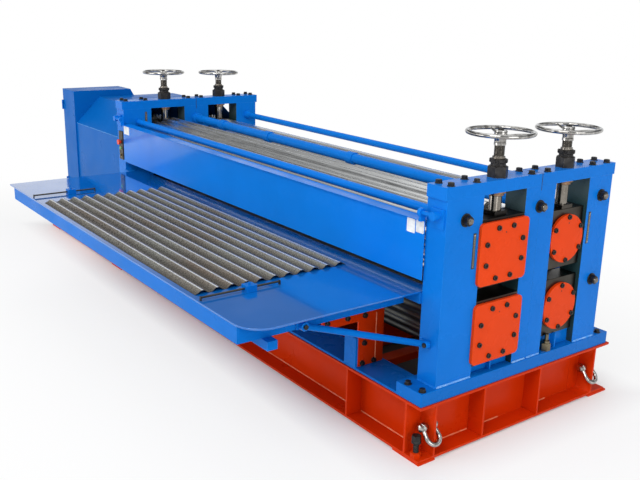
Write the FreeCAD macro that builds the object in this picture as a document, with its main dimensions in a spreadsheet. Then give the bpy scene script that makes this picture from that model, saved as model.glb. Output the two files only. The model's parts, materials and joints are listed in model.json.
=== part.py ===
import FreeCAD, Part
import math
import os
import Sketcher

from FreeCAD import Placement, Rotation, Vector

# A barrel corrugating machine: two pairs of long rolls between two end stands on a welded base.
# The machine is drawn in the base's frame: x runs from the far end of the base to the near end,
# y from the front edge of the base to the back, and z up from the floor.

SIZES = {
    # Welded base of wide I-beams on foot plates
    "base_length": 4990,
    "base_width": 1393,
    "beam_height": 280,
    "beam_flange": 200,
    "flange_thick": 12,
    "web_thick": 10,
    "rib_thick": 12,
    "rear_web_inset": 115,
    "foot_thick": 10,
    "foot_length": 185,
    "foot_overhang": 5,
    "front_foot_width": 105,
    "rear_foot_width": 153,
    "rear_foot_overhang": 16,
    # Beyond the far stand's outer face
    "mid_foot_x": 2,
    # Levelling bolts in the corners of the lower flange
    "levelling_inset_x": 44,
    "levelling_rear_x": 142,
    "levelling_inset_y": 26,
    "levelling_radius": 13,
    "levelling_nut_radius": 32,
    "levelling_nut_height": 23,
    "levelling_shank": 47,
    "levelling_head": 40,
    "levelling_head_radius": 23,
    "end_rib_front": 424,
    "end_rib_rear": 830,
    "outer_rib_x": 541,
    "inner_rib_x": 1880,
    "sill_inset": 8,
    # End stands, each a base bar, columns and caps
    "stand_inset": 20,
    "stand_gap": 3323,
    "stand_thick": 122.5,
    "base_bar_width": 173,
    "base_bar_height": 66,
    "base_bar_out": 13,
    "base_bar_front": 6,
    "base_bar_rear": 1374,
    "column_front": 102,
    "column_rear": 1267,
    "stand_seam": 717,
    "front_axis": 470.5,
    "front_window": 283,
    "rear_axis": 953.5,
    "rear_window": 261,
    # Above the front upper chocks
    "column_top": 115,
    "cap_height": 59,
    "cap_front_overhang": 9,
    "cap_rear_overhang": 14,
    "seam_gap": 0.2,
    # Bolts on the stands
    "bolt_head_radius": 15,
    "bolt_head": 14,
    "washer_radius": 18,
    "washer_thick": 3,
    "cap_bolt_inset": 34,
    "cap_bolt_x": 20,
    "cap_bolt_step": 76,
    "cap_bolt_seam": 57,
    "base_bolt_inset": 10,
    "base_bolt_step": 97,
    "base_bolt_y": 25,
    "base_bolt_rear": 60,
    # Corrugating rolls
    "flute_pitch_radius": 194.04,
    "flute_depth": 18,
    # Above the base bars
    "nip_height": 406.5,
    "roll_wall": 30,
    "roll_end_gap": 15,
    "roll_gap": 0.8,
    "end_plate": 40,
    "journal_radius": 60,
    "bearing_radius": 100,
    "bearing_width": 84,
    "running_clearance": 0.05,
    "slide_clearance": 0.3,
    # Chocks that hold the roll bearings, and their covers
    "front_chock_half": 163,
    "rear_chock_half": 150,
    "seat_inset": 36,
    "seat_rib": 9,
    "seat_rib_inset": 8,
    "square_cover_width": 320,
    "square_cover_height": 300,
    "square_cover_corner": 25,
    "square_cover_bolt_circle": 258,
    "rear_chock_inset": 20,
    "round_cover_radius": 123,
    "round_cover_bolt_circle": 221,
    "cover_thick": 17.7,
    "cover_bolt_radius": 10.5,
    "cover_bolt_head": 9,
    "socket_radius": 5.5,
    "socket_depth": 4,
    # Screws that set the upper rolls, with nuts and handwheels
    "screw_x": 61,
    "screw_radius": 29.5,
    "screw_collar_radius": 36,
    "screw_collar_height": 16,
    "retainer_width": 80,
    "retainer_thick": 20,
    "screw_nut_radius": 49,
    "screw_nut_height": 52,
    "lock_nut_radius": 42,
    "lock_nut_height": 30,
    "lock_nut_gap": 3,
    "lock_neck_radius": 35,
    "screw_shoulder": 10,
    "screw_hole_clearance": 1,
    "spindle_radius": 23,
    # Above the caps, and the hub below and above the rim's middle
    "wheel_height": 204,
    "rear_wheel_drop": 16,
    "wheel_radius": 150,
    "wheel_rod": 10,
    "hub_radius": 30,
    "hub_low": 46,
    "hub_top": 10,
    "spoke_radius": 8,
    # Tie rods between the stands
    "tie_front_y": 221,
    "tie_mid_y": 716,
    "tie_rear_y": 1187,
    # Below the column top
    "tie_inset": 99,
    "low_tie_inset": 546,
    "tie_radius": 22,
    "mid_pipe_radius": 31,
    "mid_ring_radius": 38,
    "mid_ring_length": 60,
    # From the far stand
    "mid_ring_first": 440,
    "mid_ring_second": 1071,
    "mid_ring_third": 2008,
    "stud_radius": 14,
    "stud_out": 38,
    "nut_radius": 24,
    "nut_height": 24,
    "tie_washer_radius": 31,
    "tie_washer_thick": 5,
    # Hinged guard in front of the rolls
    "guard_back": 92,
    "guard_sheet": 3,
    "guard_far_gap": 13.5,
    # Above the table
    "guard_low": 55,
    "guard_high": 1126,
    "guard_lip": 17,
    "guard_ledge": 57,
    "guard_ledge_gap": 3,
    "guard_end_overlap": 4,
    "guard_hinge_height": 1164,
    "guard_hinge_y": 72,
    "guard_pin_radius": 10,
    "guard_eye_radius": 20,
    "guard_arm": 16,
    "guard_boss_inset": 46,
    "bracket_plate_low": 1107,
    "bracket_plate_height": 86,
    "bracket_plate_inset": 10,
    "bracket_plate_width": 78,
    "bracket_plate_thick": 8,
    # Delivery table on the front
    "table_front": -809,
    "table_back": 170,
    "table_height": 790,
    "table_sheet": 8,
    "table_side_gap": 6.5,
    "table_far_gap": 136.5,
    "table_corner": 120,
    "table_far_corner": 12,
    "rim_inset": 101,
    "rim_thick": 8,
    "rim_height": 77,
    "rim_back": 90,
    "rim_front_inset": 2,
    "table_bar": 50,
    "front_bar_y": -666,
    "front_bar_height": 40,
    "front_bar_out": 48,
    "strut_radius": 15,
    "strut_top_y": -490,
    # Below the table sheet's underside
    "strut_top_height": 60,
    "strut_foot_height": 553,
    "strut_foot_x": 78,
    "strut_end": 30,
    "strut_plate": 8,
    "strut_offset": 16,
    # Rods and blocks that guide the sheet
    "guide_rod_radius": 5,
    "guide_rod_height": 14,
    "guide_post": 6,
    "guide_block_top": 30,
    "knob_radius": 6,
    "knob_height": 10,
    "guide_rod_back": -385,
    # From the table's front edge and its two ends
    "guide_rod_front": 11,
    "near_guide_x": 426,
    "far_guide_x": 489,
    "guide_block_length": 52,
    "guide_block_width": 50,
    "guide_block_y": -550,
    # Finished sheet that lies on the table, from the table's near end and front edge
    "sheet_near": 499,
    "sheet_first_crest": 63,
    "sheet_length": 2011,
    "sheet_pitch": 76.2,
    "sheet_waves": 11,
    "sheet_depth": 18,
    "sheet_thick": 1.2,
    # Gear cover, control cabinet and drive
    "gear_cover_sheet": 4,
    "gear_cover_height": 1223,
    "gear_cover_shoulder": 1010,
    "gear_cover_rear": 1223,
    # From the far stand's outer face
    "cabinet_far_inset": 1140,
    "cabinet_depth": 248,
    "cabinet_front": 91,
    "cabinet_top_back": 602,
    "cabinet_back": 720,
    "cabinet_height": 1277,
    "cabinet_slope_height": 1068,
    "cabinet_sheet": 3,
    "door_thick": 22,
    "door_gap": 0.3,
    "door_floor_gap": 4,
    "hinge_radius": 8,
    "hinge_pin": 4,
    "hinge_offset": 9,
    "hinge_knuckle": 40,
    "hinge_low": 420,
    "hinge_high": 1100,
    "door_lock_inset": 52,
    "door_lock_radius": 14,
    "door_lock_out": 12,
    "gear_teeth_front": 48,
    "gear_teeth_rear": 44,
    "gear_teeth_pinion": 18,
    "gear_width": 90,
    "gear_inset": 50,
    "gear_backlash": 0.8,
    "pressure_angle": 20,
    "pinion_bore": 30,
    "reducer_size": 300,
    "reducer_gap": 60,
    "reducer_length": 260,
    "motor_radius": 105,
    "motor_length": 240,
    "fan_cover_radius": 110,
    "fan_cover_length": 60,
    "plinth_width": 90,
    "plinth_margin": 20,
    # Push-button station on the far stand
    "station_inset": 16.5,
    "station_proud": 10,
    "station_width": 68,
    "station_depth": 40,
    "station_low": 853,
    "station_height": 215,
    "button_radius": 11,
    "button_out": 9,
    "stop_radius": 20,
    "stop_out": 24,
    "button_travel": 5,
    # Lifting shackles at the four corners of the base
    "shackle_inset": 50,
    "shackle_height": 155,
    "shackle_reach": 92,
    "shackle_half_width": 30,
    "shackle_bow": 38,
    "shackle_rod": 11,
    "shackle_pin": 12.5,
    "shackle_eye": 24,
    "shackle_rest_gap": 1,
    # Red supports under the table, with blue posts on the sills and bars across the base
    "support_inset": 345.5,
    "support_thick": 12,
    "support_front": 22,
    "support_rear": 184,
    "support_fold": 40,
    "support_reach": 222,
    "support_arm_low": 545,
    "support_bar_width": 75,
    "support_bar_height": 40,
    "post_width": 91,
    "post_height": 155,
}

doc = FreeCAD.newDocument("corrugating_machine")
sheet = doc.addObject("Spreadsheet::Sheet", "Sizes")
for row, (alias, number) in enumerate(SIZES.items(), start=1):
    sheet.set("A%d" % row, alias)
    sheet.set("B%d" % row, str(number))
    sheet.setAlias("B%d" % row, alias)
doc.recompute()


class Size:
    """A length with its value, and the formula that ties it to the sheet."""

    def __init__(self, text, value):
        self.text = text
        self.value = value

    def __add__(self, other):
        other = as_size(other)
        return Size("(%s + %s)" % (self.text, other.text), self.value + other.value)

    def __sub__(self, other):
        other = as_size(other)
        return Size("(%s - %s)" % (self.text, other.text), self.value - other.value)

    def __mul__(self, other):
        other = as_size(other)
        return Size("(%s * %s)" % (self.text, other.text), self.value * other.value)

    def __truediv__(self, other):
        other = as_size(other)
        return Size("(%s / %s)" % (self.text, other.text), self.value / other.value)

    def __radd__(self, other):
        return as_size(other) + self

    def __rsub__(self, other):
        return as_size(other) - self

    def __rmul__(self, other):
        return as_size(other) * self

    def __neg__(self):
        return Size("(0 - %s)" % self.text, -self.value)


def as_size(number):
    return number if isinstance(number, Size) else Size("(%r)" % float(number), float(number))


class Table:
    """The sheet's sizes by name, so that S.base_length is one of them."""

    def __getattr__(self, name):
        return Size("Sizes.%s" % name, float(sheet.get(name)))


S = Table()
TURN_TO = {
    "x": Rotation(Vector(0, 1, 0), 90),
    "y": Rotation(Vector(1, 0, 0), -90),
    "z": Rotation(),
}


# Helpers that make one solid each, tied to the sheet

def bind(obj, prop, size):
    obj.setExpression(prop, as_size(size).text)


def put(obj, point, rotation=Rotation()):
    """Turns an object, then ties its place to three sizes."""
    obj.Placement = Placement(Vector(*[as_size(value).value for value in point]), rotation)
    for letter, value in zip("xyz", point):
        bind(obj, "Placement.Base." + letter, value)
    return obj


def box(x, y, z):
    """A block between low and high values along each axis."""
    obj = doc.addObject("Part::Box", "block")
    for prop, (low, high) in zip(("Length", "Width", "Height"), (x, y, z)):
        bind(obj, prop, as_size(high) - low)
    return put(obj, (x[0], y[0], z[0]))


def along(axis, centre, low):
    """The start point of a round piece: its centre, with low along its axis."""
    point = list(centre)
    point.insert("xyz".index(axis), low)
    return point


def rod(axis, centre, radius, span):
    """A cylinder along an axis, between the two ends of span."""
    obj = doc.addObject("Part::Cylinder", "rod")
    bind(obj, "Radius", radius)
    bind(obj, "Height", as_size(span[1]) - span[0])
    return put(obj, along(axis, centre, span[0]), TURN_TO[axis])


def hexagon(axis, centre, radius, span):
    """A six-sided bar along an axis."""
    obj = doc.addObject("Part::Prism", "hexagon")
    obj.Polygon = 6
    bind(obj, "Circumradius", radius)
    bind(obj, "Height", as_size(span[1]) - span[0])
    return put(obj, along(axis, centre, span[0]), TURN_TO[axis])


def cut(base, *tools):
    obj = doc.addObject("Part::Cut", "cut")
    obj.Base = base
    obj.Tool = tools[0] if len(tools) == 1 else group(*tools)
    return obj


def fuse(*pieces):
    obj = doc.addObject("Part::MultiFuse", "fusion")
    obj.Shapes = list(pieces)
    return obj


def group(*pieces):
    obj = doc.addObject("Part::Compound", "group")
    obj.Links = list(pieces)
    return obj


def ring(axis, centre, outer, inner, span):
    return cut(rod(axis, centre, outer, span), rod(axis, centre, inner, span))


def made(shape):
    """A piece whose shape comes from the sizes by a formula of its own."""
    obj = doc.addObject("Part::Feature", "formed")
    obj.Shape = shape
    return obj


def outline_sketch(body, plane, points):
    """A closed outline on one of a body's planes, each corner tied to two sizes."""
    sketch = body.newObject("Sketcher::SketchObject", "outline")
    origin_plane = [item for item in body.Origin.OriginFeatures if item.Role == plane][0]
    sketch.AttachmentSupport = (origin_plane, [""])
    sketch.MapMode = "FlatFace"
    corners = [(as_size(u), as_size(v)) for u, v in points]
    count = len(corners)
    for index in range(count):
        u, v = corners[index]
        u_next, v_next = corners[(index + 1) % count]
        start, end = Vector(u.value, v.value, 0), Vector(u_next.value, v_next.value, 0)
        sketch.addGeometry(Part.LineSegment(start, end))
    for index in range(count):
        sketch.addConstraint(Sketcher.Constraint("Coincident", index, 2, (index + 1) % count, 1))
    for index, corner in enumerate(corners):
        for kind, size, axis in zip(("DistanceX", "DistanceY"), corner, (-2, -1)):
            if size.value == 0:
                sketch.addConstraint(Sketcher.Constraint("PointOnObject", index, 1, axis))
                continue
            number = sketch.addConstraint(Sketcher.Constraint(kind, -1, 1, index, 1, size.value))
            sketch.setExpression("Constraints[%d]" % number, size.text)
    return sketch


def bar(points, span):
    """A y-z outline carried along x between the two ends of span."""
    body = doc.addObject("PartDesign::Body", "bar")
    sketch = outline_sketch(body, "YZ_Plane", points)
    pad = body.newObject("PartDesign::Pad", "length")
    pad.Profile = sketch
    bind(pad, "Length", as_size(span[1]) - span[0])
    return put(body, (span[0], 0, 0))


def turned_x(centre, points):
    """An outline of (x, radius) corners, turned about a line along x through centre."""
    body = doc.addObject("PartDesign::Body", "turned")
    sketch = outline_sketch(body, "XY_Plane", points)
    spin = body.newObject("PartDesign::Revolution", "turn")
    spin.Profile = sketch
    spin.ReferenceAxis = (sketch, ["H_Axis"])
    spin.Angle = 360
    return put(body, (0, centre[0], centre[1]))


def turned_z(centre, points):
    """An outline of (radius, z) corners, turned about an upright line through centre."""
    body = doc.addObject("PartDesign::Body", "turned")
    sketch = outline_sketch(body, "XZ_Plane", points)
    spin = body.newObject("PartDesign::Revolution", "turn")
    spin.Profile = sketch
    spin.ReferenceAxis = (sketch, ["V_Axis"])
    spin.Angle = 360
    return put(body, (centre[0], centre[1], 0))


# Places that several pieces share

BASE_TOP = S.foot_thick + S.beam_height
NEAR_OUT = S.base_length - S.stand_inset
NEAR_IN = NEAR_OUT - S.stand_thick
FRONT_FACE = NEAR_OUT + S.slide_clearance
REAR_FACE = NEAR_OUT - S.rear_chock_inset
FAR_IN = NEAR_IN - S.stand_gap
FAR_OUT = FAR_IN - S.stand_thick
STANDS = {"near": (NEAR_IN, NEAR_OUT), "far": (FAR_OUT, FAR_IN)}
BAR_TOP = BASE_TOP + S.base_bar_height
FRONT_WINDOW = (S.front_axis - S.front_window / 2, S.front_axis + S.front_window / 2)
REAR_WINDOW = (S.rear_axis - S.rear_window / 2, S.rear_axis + S.rear_window / 2)
FRONT_DISTANCE = S.flute_pitch_radius * 2 + S.roll_gap
FLUTES = round(2 * math.pi * S.flute_pitch_radius.value / S.sheet_pitch.value)
GEAR_MODULE = FRONT_DISTANCE / S.gear_teeth_front
REAR_DISTANCE = GEAR_MODULE * S.gear_teeth_rear
SMOOTH_RADIUS = (REAR_DISTANCE - S.roll_gap) / 2
NIP = BAR_TOP + S.nip_height
FRONT_LOW = NIP - FRONT_DISTANCE / 2
FRONT_HIGH = NIP + FRONT_DISTANCE / 2
REAR_LOW = NIP - REAR_DISTANCE / 2
REAR_HIGH = NIP + REAR_DISTANCE / 2
COLUMN_TOP = FRONT_HIGH + S.front_chock_half + S.column_top
CAP_TOP = COLUMN_TOP + S.cap_height
WHEEL_HEIGHT = CAP_TOP + S.wheel_height
REAR_WHEEL_HEIGHT = WHEEL_HEIGHT - S.rear_wheel_drop
SCREW_NEAR = NEAR_OUT - S.screw_x
SCREW_FAR = FAR_OUT + S.screw_x
ROLL_SPAN = (FAR_IN + S.roll_end_gap, NEAR_IN - S.roll_end_gap)
GEAR_SPAN = (FAR_OUT - S.gear_inset - S.gear_width, FAR_OUT - S.gear_inset)
CABINET_FAR = FAR_OUT - S.cabinet_far_inset
CABINET_NEAR = CABINET_FAR + S.cabinet_depth
TABLE_NEAR = NEAR_IN - S.table_side_gap
TABLE_FAR = FAR_IN + S.table_far_gap
RIM_NEAR = TABLE_NEAR - S.rim_inset
RIM_FAR = TABLE_FAR + S.rim_inset
TABLE_UNDER = S.table_height - S.table_sheet
GUARD_LOW = S.table_height + S.guard_low
SILL_TOP = BASE_TOP + S.flange_thick
GUARD_SPAN = (FAR_IN + S.guard_far_gap, NEAR_IN + S.guard_end_overlap)
FRONT_WEB = S.beam_flange / 2
REAR_WEB = S.base_width - S.rear_web_inset
FRONT_CHOCK = (FRONT_WINDOW[0] + S.slide_clearance, FRONT_WINDOW[1] - S.slide_clearance)
REAR_CHOCK = (REAR_WINDOW[0] + S.slide_clearance, REAR_WINDOW[1] - S.slide_clearance)
SCREW_PLACES = {
    "near_front": (SCREW_NEAR, S.front_axis, FRONT_HIGH + S.front_chock_half, WHEEL_HEIGHT),
    "far_front": (SCREW_FAR, S.front_axis, FRONT_HIGH + S.front_chock_half, WHEEL_HEIGHT),
    "near_rear": (SCREW_NEAR, S.rear_axis, REAR_HIGH + S.rear_chock_half, REAR_WHEEL_HEIGHT),
    "far_rear": (SCREW_FAR, S.rear_axis, REAR_HIGH + S.rear_chock_half, REAR_WHEEL_HEIGHT),
}


# The middle of the whole machine: from the far shackles to the near handwheels along x,
# and from the table's front edge to the rear feet along y

SHACKLE_LEAN = S.shackle_inset + S.shackle_rod + S.shackle_rest_gap
FAR_REACH = S.shackle_inset - SHACKLE_LEAN - S.shackle_rod
NEAR_REACH = SCREW_NEAR + S.wheel_radius + S.wheel_rod
MIDDLE_X = (FAR_REACH + NEAR_REACH) / 2
MIDDLE_Y = (S.table_front + S.base_width + S.rear_foot_overhang) / 2
NODES = []


def node(name, *pieces):
    """One named sub-part, moved from the base's frame to the machine's middle."""
    obj = group(*pieces)
    obj.Label = name
    put(obj, (-MIDDLE_X, -MIDDLE_Y, 0))
    NODES.append(obj)


def root(size):
    return Size("sqrt(%s)" % size.text, math.sqrt(size.value))


def pinion_centre():
    """The point that lies one mesh distance from each lower gear, below the line between them."""
    front_reach = GEAR_MODULE * (S.gear_teeth_front + S.gear_teeth_pinion) / 2
    rear_reach = GEAR_MODULE * (S.gear_teeth_rear + S.gear_teeth_pinion) / 2
    step_y = S.rear_axis - S.front_axis
    step_z = REAR_LOW - FRONT_LOW
    length = root(step_y * step_y + step_z * step_z)
    shift = (front_reach * front_reach - rear_reach * rear_reach + length * length) / (2 * length)
    drop = root(front_reach * front_reach - shift * shift)
    y = S.front_axis + (shift * step_y + drop * step_z) / length
    z = FRONT_LOW + (shift * step_z - drop * step_y) / length
    return y, z


PINION_Y, PINION_Z = pinion_centre()


# Base

def foot_places():
    """The x spans of the foot plates."""
    near = S.base_length + S.foot_overhang
    far = -S.foot_overhang
    middle = FAR_OUT - S.mid_foot_x
    return [(near - S.foot_length, near), (middle, middle + S.foot_length), (far, far + S.foot_length)]


def bolt_lines():
    """The levelling bolts along the front and the rear beam; the rear ones stand further from the ends."""
    middle = FAR_OUT - S.mid_foot_x + S.foot_length / 2
    return [
        [(x, y) for x in (S.base_length - inset, middle, inset)]
        for inset, y in ((S.levelling_inset_x, S.levelling_inset_y),
                         (S.levelling_rear_x, S.base_width - S.levelling_inset_y))
    ]


def beam_outline(edge, web):
    """An I section with its flange from edge inwards, and its web centred at web."""
    low, high, flange = S.foot_thick, BASE_TOP, S.flange_thick
    far_edge = edge + S.beam_flange
    left, right = web - S.web_thick / 2, web + S.web_thick / 2
    return [
        (edge, low), (far_edge, low), (far_edge, low + flange), (right, low + flange),
        (right, high - flange), (far_edge, high - flange), (far_edge, high), (edge, high),
        (edge, high - flange), (left, high - flange), (left, low + flange), (edge, low + flange),
    ]


def shackle_places():
    return {
        "near_front": (S.base_length - S.shackle_inset, FRONT_WEB, 1),
        "near_rear": (S.base_length - S.shackle_inset, REAR_WEB, 1),
        "far_front": (S.shackle_inset, FRONT_WEB, -1),
        "far_rear": (S.shackle_inset, REAR_WEB, -1),
    }


def long_beam(edge, web, bolts):
    span = (0, S.foot_thick + S.flange_thick * 2)
    holes = [rod("z", place, S.levelling_radius, span) for place in bolts]
    for pin_x in (S.shackle_inset, S.base_length - S.shackle_inset):
        span = (web - S.web_thick, web + S.web_thick)
        hole_radius = S.shackle_pin + S.running_clearance
        holes.append(rod("y", (pin_x, S.shackle_height), hole_radius, span))
    return cut(bar(beam_outline(edge, web), (0, S.base_length)), *holes)


def cross_places():
    """The centre of each cross beam: both ends, the far stand, and two between the stands."""
    middle = FAR_OUT - S.mid_foot_x + S.beam_flange / 2
    near = S.base_length - S.beam_flange / 2
    step = (near - middle) / 3
    return [S.beam_flange / 2, middle, middle + step, middle + step * 2, near]


def cross_beam(centre):
    y = (S.beam_flange, S.base_width - S.beam_flange)
    x = (centre - S.beam_flange / 2, centre + S.beam_flange / 2)
    web = (centre - S.web_thick / 2, centre + S.web_thick / 2)
    return fuse(
        box(x, y, (S.foot_thick, S.foot_thick + S.flange_thick)),
        box(web, y, (S.foot_thick, BASE_TOP)),
        box(x, y, (BASE_TOP - S.flange_thick, BASE_TOP)),
    )


def ribs():
    """Plates that close the beams' channels: outside, at the ends, and behind each cross beam."""
    z = (S.foot_thick + S.flange_thick, BASE_TOP - S.flange_thick)
    half, web = S.rib_thick / 2, S.web_thick / 2
    front, rear = (0, FRONT_WEB - web), (REAR_WEB + web, S.base_width)
    end = S.beam_flange / 2
    outer = [end, S.outer_rib_x, S.inner_rib_x]
    places = outer + [S.base_length - x for x in outer]
    plates = [box((x - half, x + half), y, z) for x in places for y in (front, rear)]
    for y in (S.end_rib_front, S.end_rib_rear):
        plates.append(box((0, end - web), (y - half, y + half), z))
        plates.append(box((S.base_length - end + web, S.base_length), (y - half, y + half), z))
    for x in cross_places():
        plates.append(box((x - half, x + half), (FRONT_WEB + web, S.beam_flange), z))
        plates.append(box((x - half, x + half), (S.base_width - S.beam_flange, REAR_WEB - web), z))
    return plates


def foot_plates():
    rear_edge = S.base_width + S.rear_foot_overhang
    lines = ((0, S.front_foot_width), (rear_edge - S.rear_foot_width, rear_edge))
    return [box(x, y, (0, S.foot_thick)) for x in foot_places() for y in lines]


def levelling_bolts():
    """A nut on the lower flange, and a bolt that stands on the foot plate."""
    pieces = []
    nut_low = S.foot_thick + S.flange_thick
    nut_high = nut_low + S.levelling_nut_height
    head_low = nut_high + S.levelling_shank
    for line in bolt_lines():
        for place in line:
            nut = hexagon("z", place, S.levelling_nut_radius, (nut_low, nut_high))
            shank = rod("z", place, S.levelling_radius, (S.foot_thick, head_low))
            head = hexagon("z", place, S.levelling_head_radius, (head_low, head_low + S.levelling_head))
            pieces.append(fuse(shank, head))
            pieces.append(cut(nut, rod("z", place, S.levelling_radius, (nut_low, nut_high))))
    return pieces


def sills():
    """Blue plates on the long beams between the base bars, with a short post at each support."""
    near_bar, far_bar = bar_spans()
    x = (far_bar[1], near_bar[0])
    z = (BASE_TOP, SILL_TOP)
    plates = [
        box(x, (S.sill_inset, S.beam_flange), z),
        box(x, (S.base_width - S.beam_flange, S.base_width - S.sill_inset), z),
    ]
    for low, high in support_places():
        post_low = (high - S.post_width) if high.value > S.base_length.value / 2 else low
        plates.append(box((post_low, post_low + S.post_width), (S.sill_inset, S.support_front),
                          (SILL_TOP, SILL_TOP + S.post_height)))
    return plates


def support_places():
    near = NEAR_IN - S.support_inset
    far = FAR_IN + S.support_inset
    return (near - S.support_thick, near), (far, far + S.support_thick)


def support_bars():
    """A narrow bar across the base behind each support plate."""
    near, far = support_places()
    y = (S.beam_flange, S.base_width - S.beam_flange)
    z = (BASE_TOP - S.support_bar_height, BASE_TOP)
    spans = ((near[1] - S.support_bar_width, near[1]), (far[0], far[0] + S.support_bar_width))
    return [box(x, y, z) for x in spans]


def centre_supports():
    """Red plates from the sill to the table's rear bar, each with an arm under the table and a rib."""
    pieces = []
    top = TABLE_UNDER - S.table_bar
    near, far = support_places()
    rib_y = (S.support_front + S.support_fold, S.support_front + S.support_fold + S.support_thick)
    for x, rib_x in ((near, (near[0] - S.support_fold, near[0])), (far, (far[1], far[1] + S.support_fold))):
        plate = box(x, (S.support_front, S.support_rear), (SILL_TOP, top))
        arm = box(x, (S.support_front - S.support_reach, S.rim_back), (S.support_arm_low, TABLE_UNDER))
        pieces.append(fuse(plate, arm, box(rib_x, rib_y, (SILL_TOP, top))))
    return pieces


# End stands

def bar_spans():
    """The x spans of the near and far base bar; the near one stands out past its columns."""
    near = NEAR_OUT + S.base_bar_out
    return (near - S.base_bar_width, near), (FAR_OUT, FAR_OUT + S.base_bar_width)


def base_bars():
    y = (S.base_bar_front, S.base_bar_rear)
    return [box(x, y, (BASE_TOP, BAR_TOP)) for x in bar_spans()]


def tie_places():
    high = COLUMN_TOP - S.tie_inset
    low = COLUMN_TOP - S.low_tie_inset
    return [(S.tie_front_y, high), (S.tie_mid_y, high), (S.tie_rear_y, high), (S.tie_rear_y, low)]


def columns():
    """Four upright bars in each stand, drilled for the studs of the tie rods."""
    seam = S.seam_gap / 2
    spans = [
        (S.column_front, FRONT_WINDOW[0], (0,)),
        (FRONT_WINDOW[1], S.stand_seam - seam, (1,)),
        (S.stand_seam + seam, REAR_WINDOW[0], (1,)),
        (REAR_WINDOW[1], S.column_rear, (2, 3)),
    ]
    pieces = []
    for side, x in STANDS.items():
        for low, high, ties in spans:
            holes = [rod("x", tie_places()[tie], S.stud_radius, x) for tie in ties]
            if side == "far" and 0 in ties:
                holes.append(station_case(S.slide_clearance))
            pieces.append(cut(box(x, (low, high), (BAR_TOP, COLUMN_TOP)), *holes))
    return pieces


def caps():
    """A front and a rear cap on each stand, each with the hole that its screw passes."""
    seam = S.seam_gap / 2
    spans = [
        (S.column_front - S.cap_front_overhang, S.stand_seam - seam, S.front_axis),
        (S.stand_seam + seam, S.column_rear + S.cap_rear_overhang, S.rear_axis),
    ]
    pieces = []
    z = (COLUMN_TOP, CAP_TOP)
    for x, screw_x in ((STANDS["near"], SCREW_NEAR), (STANDS["far"], SCREW_FAR)):
        for low, high, axis in spans:
            hole = rod("z", (screw_x, axis), S.screw_radius + S.screw_hole_clearance, z)
            pieces.append(cut(box(x, (low, high), z), hole))
    return pieces


def hex_bolt(x, y, seat):
    """A washer and a hexagon head on a level seat."""
    washer = rod("z", (x, y), S.washer_radius, (seat, seat + S.washer_thick))
    low = seat + S.washer_thick
    return [washer, hexagon("z", (x, y), S.bolt_head_radius, (low, low + S.bolt_head))]


def frame_bolts():
    """The bolts that hold the caps on the columns, and the base bars on the base."""
    inset = S.cap_bolt_inset
    cap_lines = [
        S.column_front + inset, FRONT_WINDOW[0] - inset, S.stand_seam - S.cap_bolt_seam,
        S.stand_seam + S.cap_bolt_seam, REAR_WINDOW[1] + inset, S.column_rear - inset,
    ]
    near = [NEAR_OUT - S.cap_bolt_x, NEAR_OUT - S.cap_bolt_x - S.cap_bolt_step]
    far = [FAR_OUT + S.cap_bolt_x, FAR_OUT + S.cap_bolt_x + S.cap_bolt_step]
    pieces = []
    for x in near + far:
        for y in cap_lines:
            pieces += hex_bolt(x, y, CAP_TOP)
    near = [NEAR_OUT - S.base_bolt_inset, NEAR_OUT - S.base_bolt_inset - S.base_bolt_step]
    far = [FAR_OUT + S.base_bolt_inset, FAR_OUT + S.base_bolt_inset + S.base_bolt_step]
    for x in near + far:
        for y in (S.base_bar_front + S.base_bolt_y, S.base_bar_rear - S.base_bolt_rear):
            pieces += hex_bolt(x, y, BAR_TOP)
    return pieces


def tie_rods():
    """Painted pipes between the stands, the middle one with three rings."""
    span = (FAR_IN, NEAR_IN)
    pieces = []
    for index, place in enumerate(tie_places()):
        if index != 1:
            pieces.append(rod("x", place, S.tie_radius, span))
    place = tie_places()[1]
    pipe = rod("x", place, S.mid_pipe_radius, span)
    half = S.mid_ring_length / 2
    rings = []
    for inset in (S.mid_ring_first, S.mid_ring_second, S.mid_ring_third):
        middle = FAR_IN + inset
        rings.append(rod("x", place, S.mid_ring_radius, (middle - half, middle + half)))
    pieces.append(fuse(pipe, *rings))
    return pieces


def tie_studs():
    """Steel studs in the columns; the near ones stand out for a nut."""
    pieces = []
    for place in tie_places():
        pieces.append(rod("x", place, S.stud_radius, (NEAR_IN, NEAR_OUT + S.stud_out)))
        pieces.append(rod("x", place, S.stud_radius, (FAR_OUT, FAR_IN)))
    return pieces


def tie_nuts():
    """A washer and a hexagon nut round the near end of each stud."""
    pieces = []
    washer_end = NEAR_OUT + S.tie_washer_thick
    for place in tie_places():
        pieces.append(ring("x", place, S.tie_washer_radius, S.stud_radius, (NEAR_OUT, washer_end)))
        nut_span = (washer_end, washer_end + S.nut_height)
        nut = hexagon("x", place, S.nut_radius, nut_span)
        pieces.append(cut(nut, rod("x", place, S.stud_radius, nut_span)))
    return pieces


# Rolls and their gears

def polar(y, z, radius, angle):
    """A point of the y-z plane, at a radius and an angle in radians from a centre."""
    return Vector(0, y + radius * math.cos(angle), z + radius * math.sin(angle))


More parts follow.
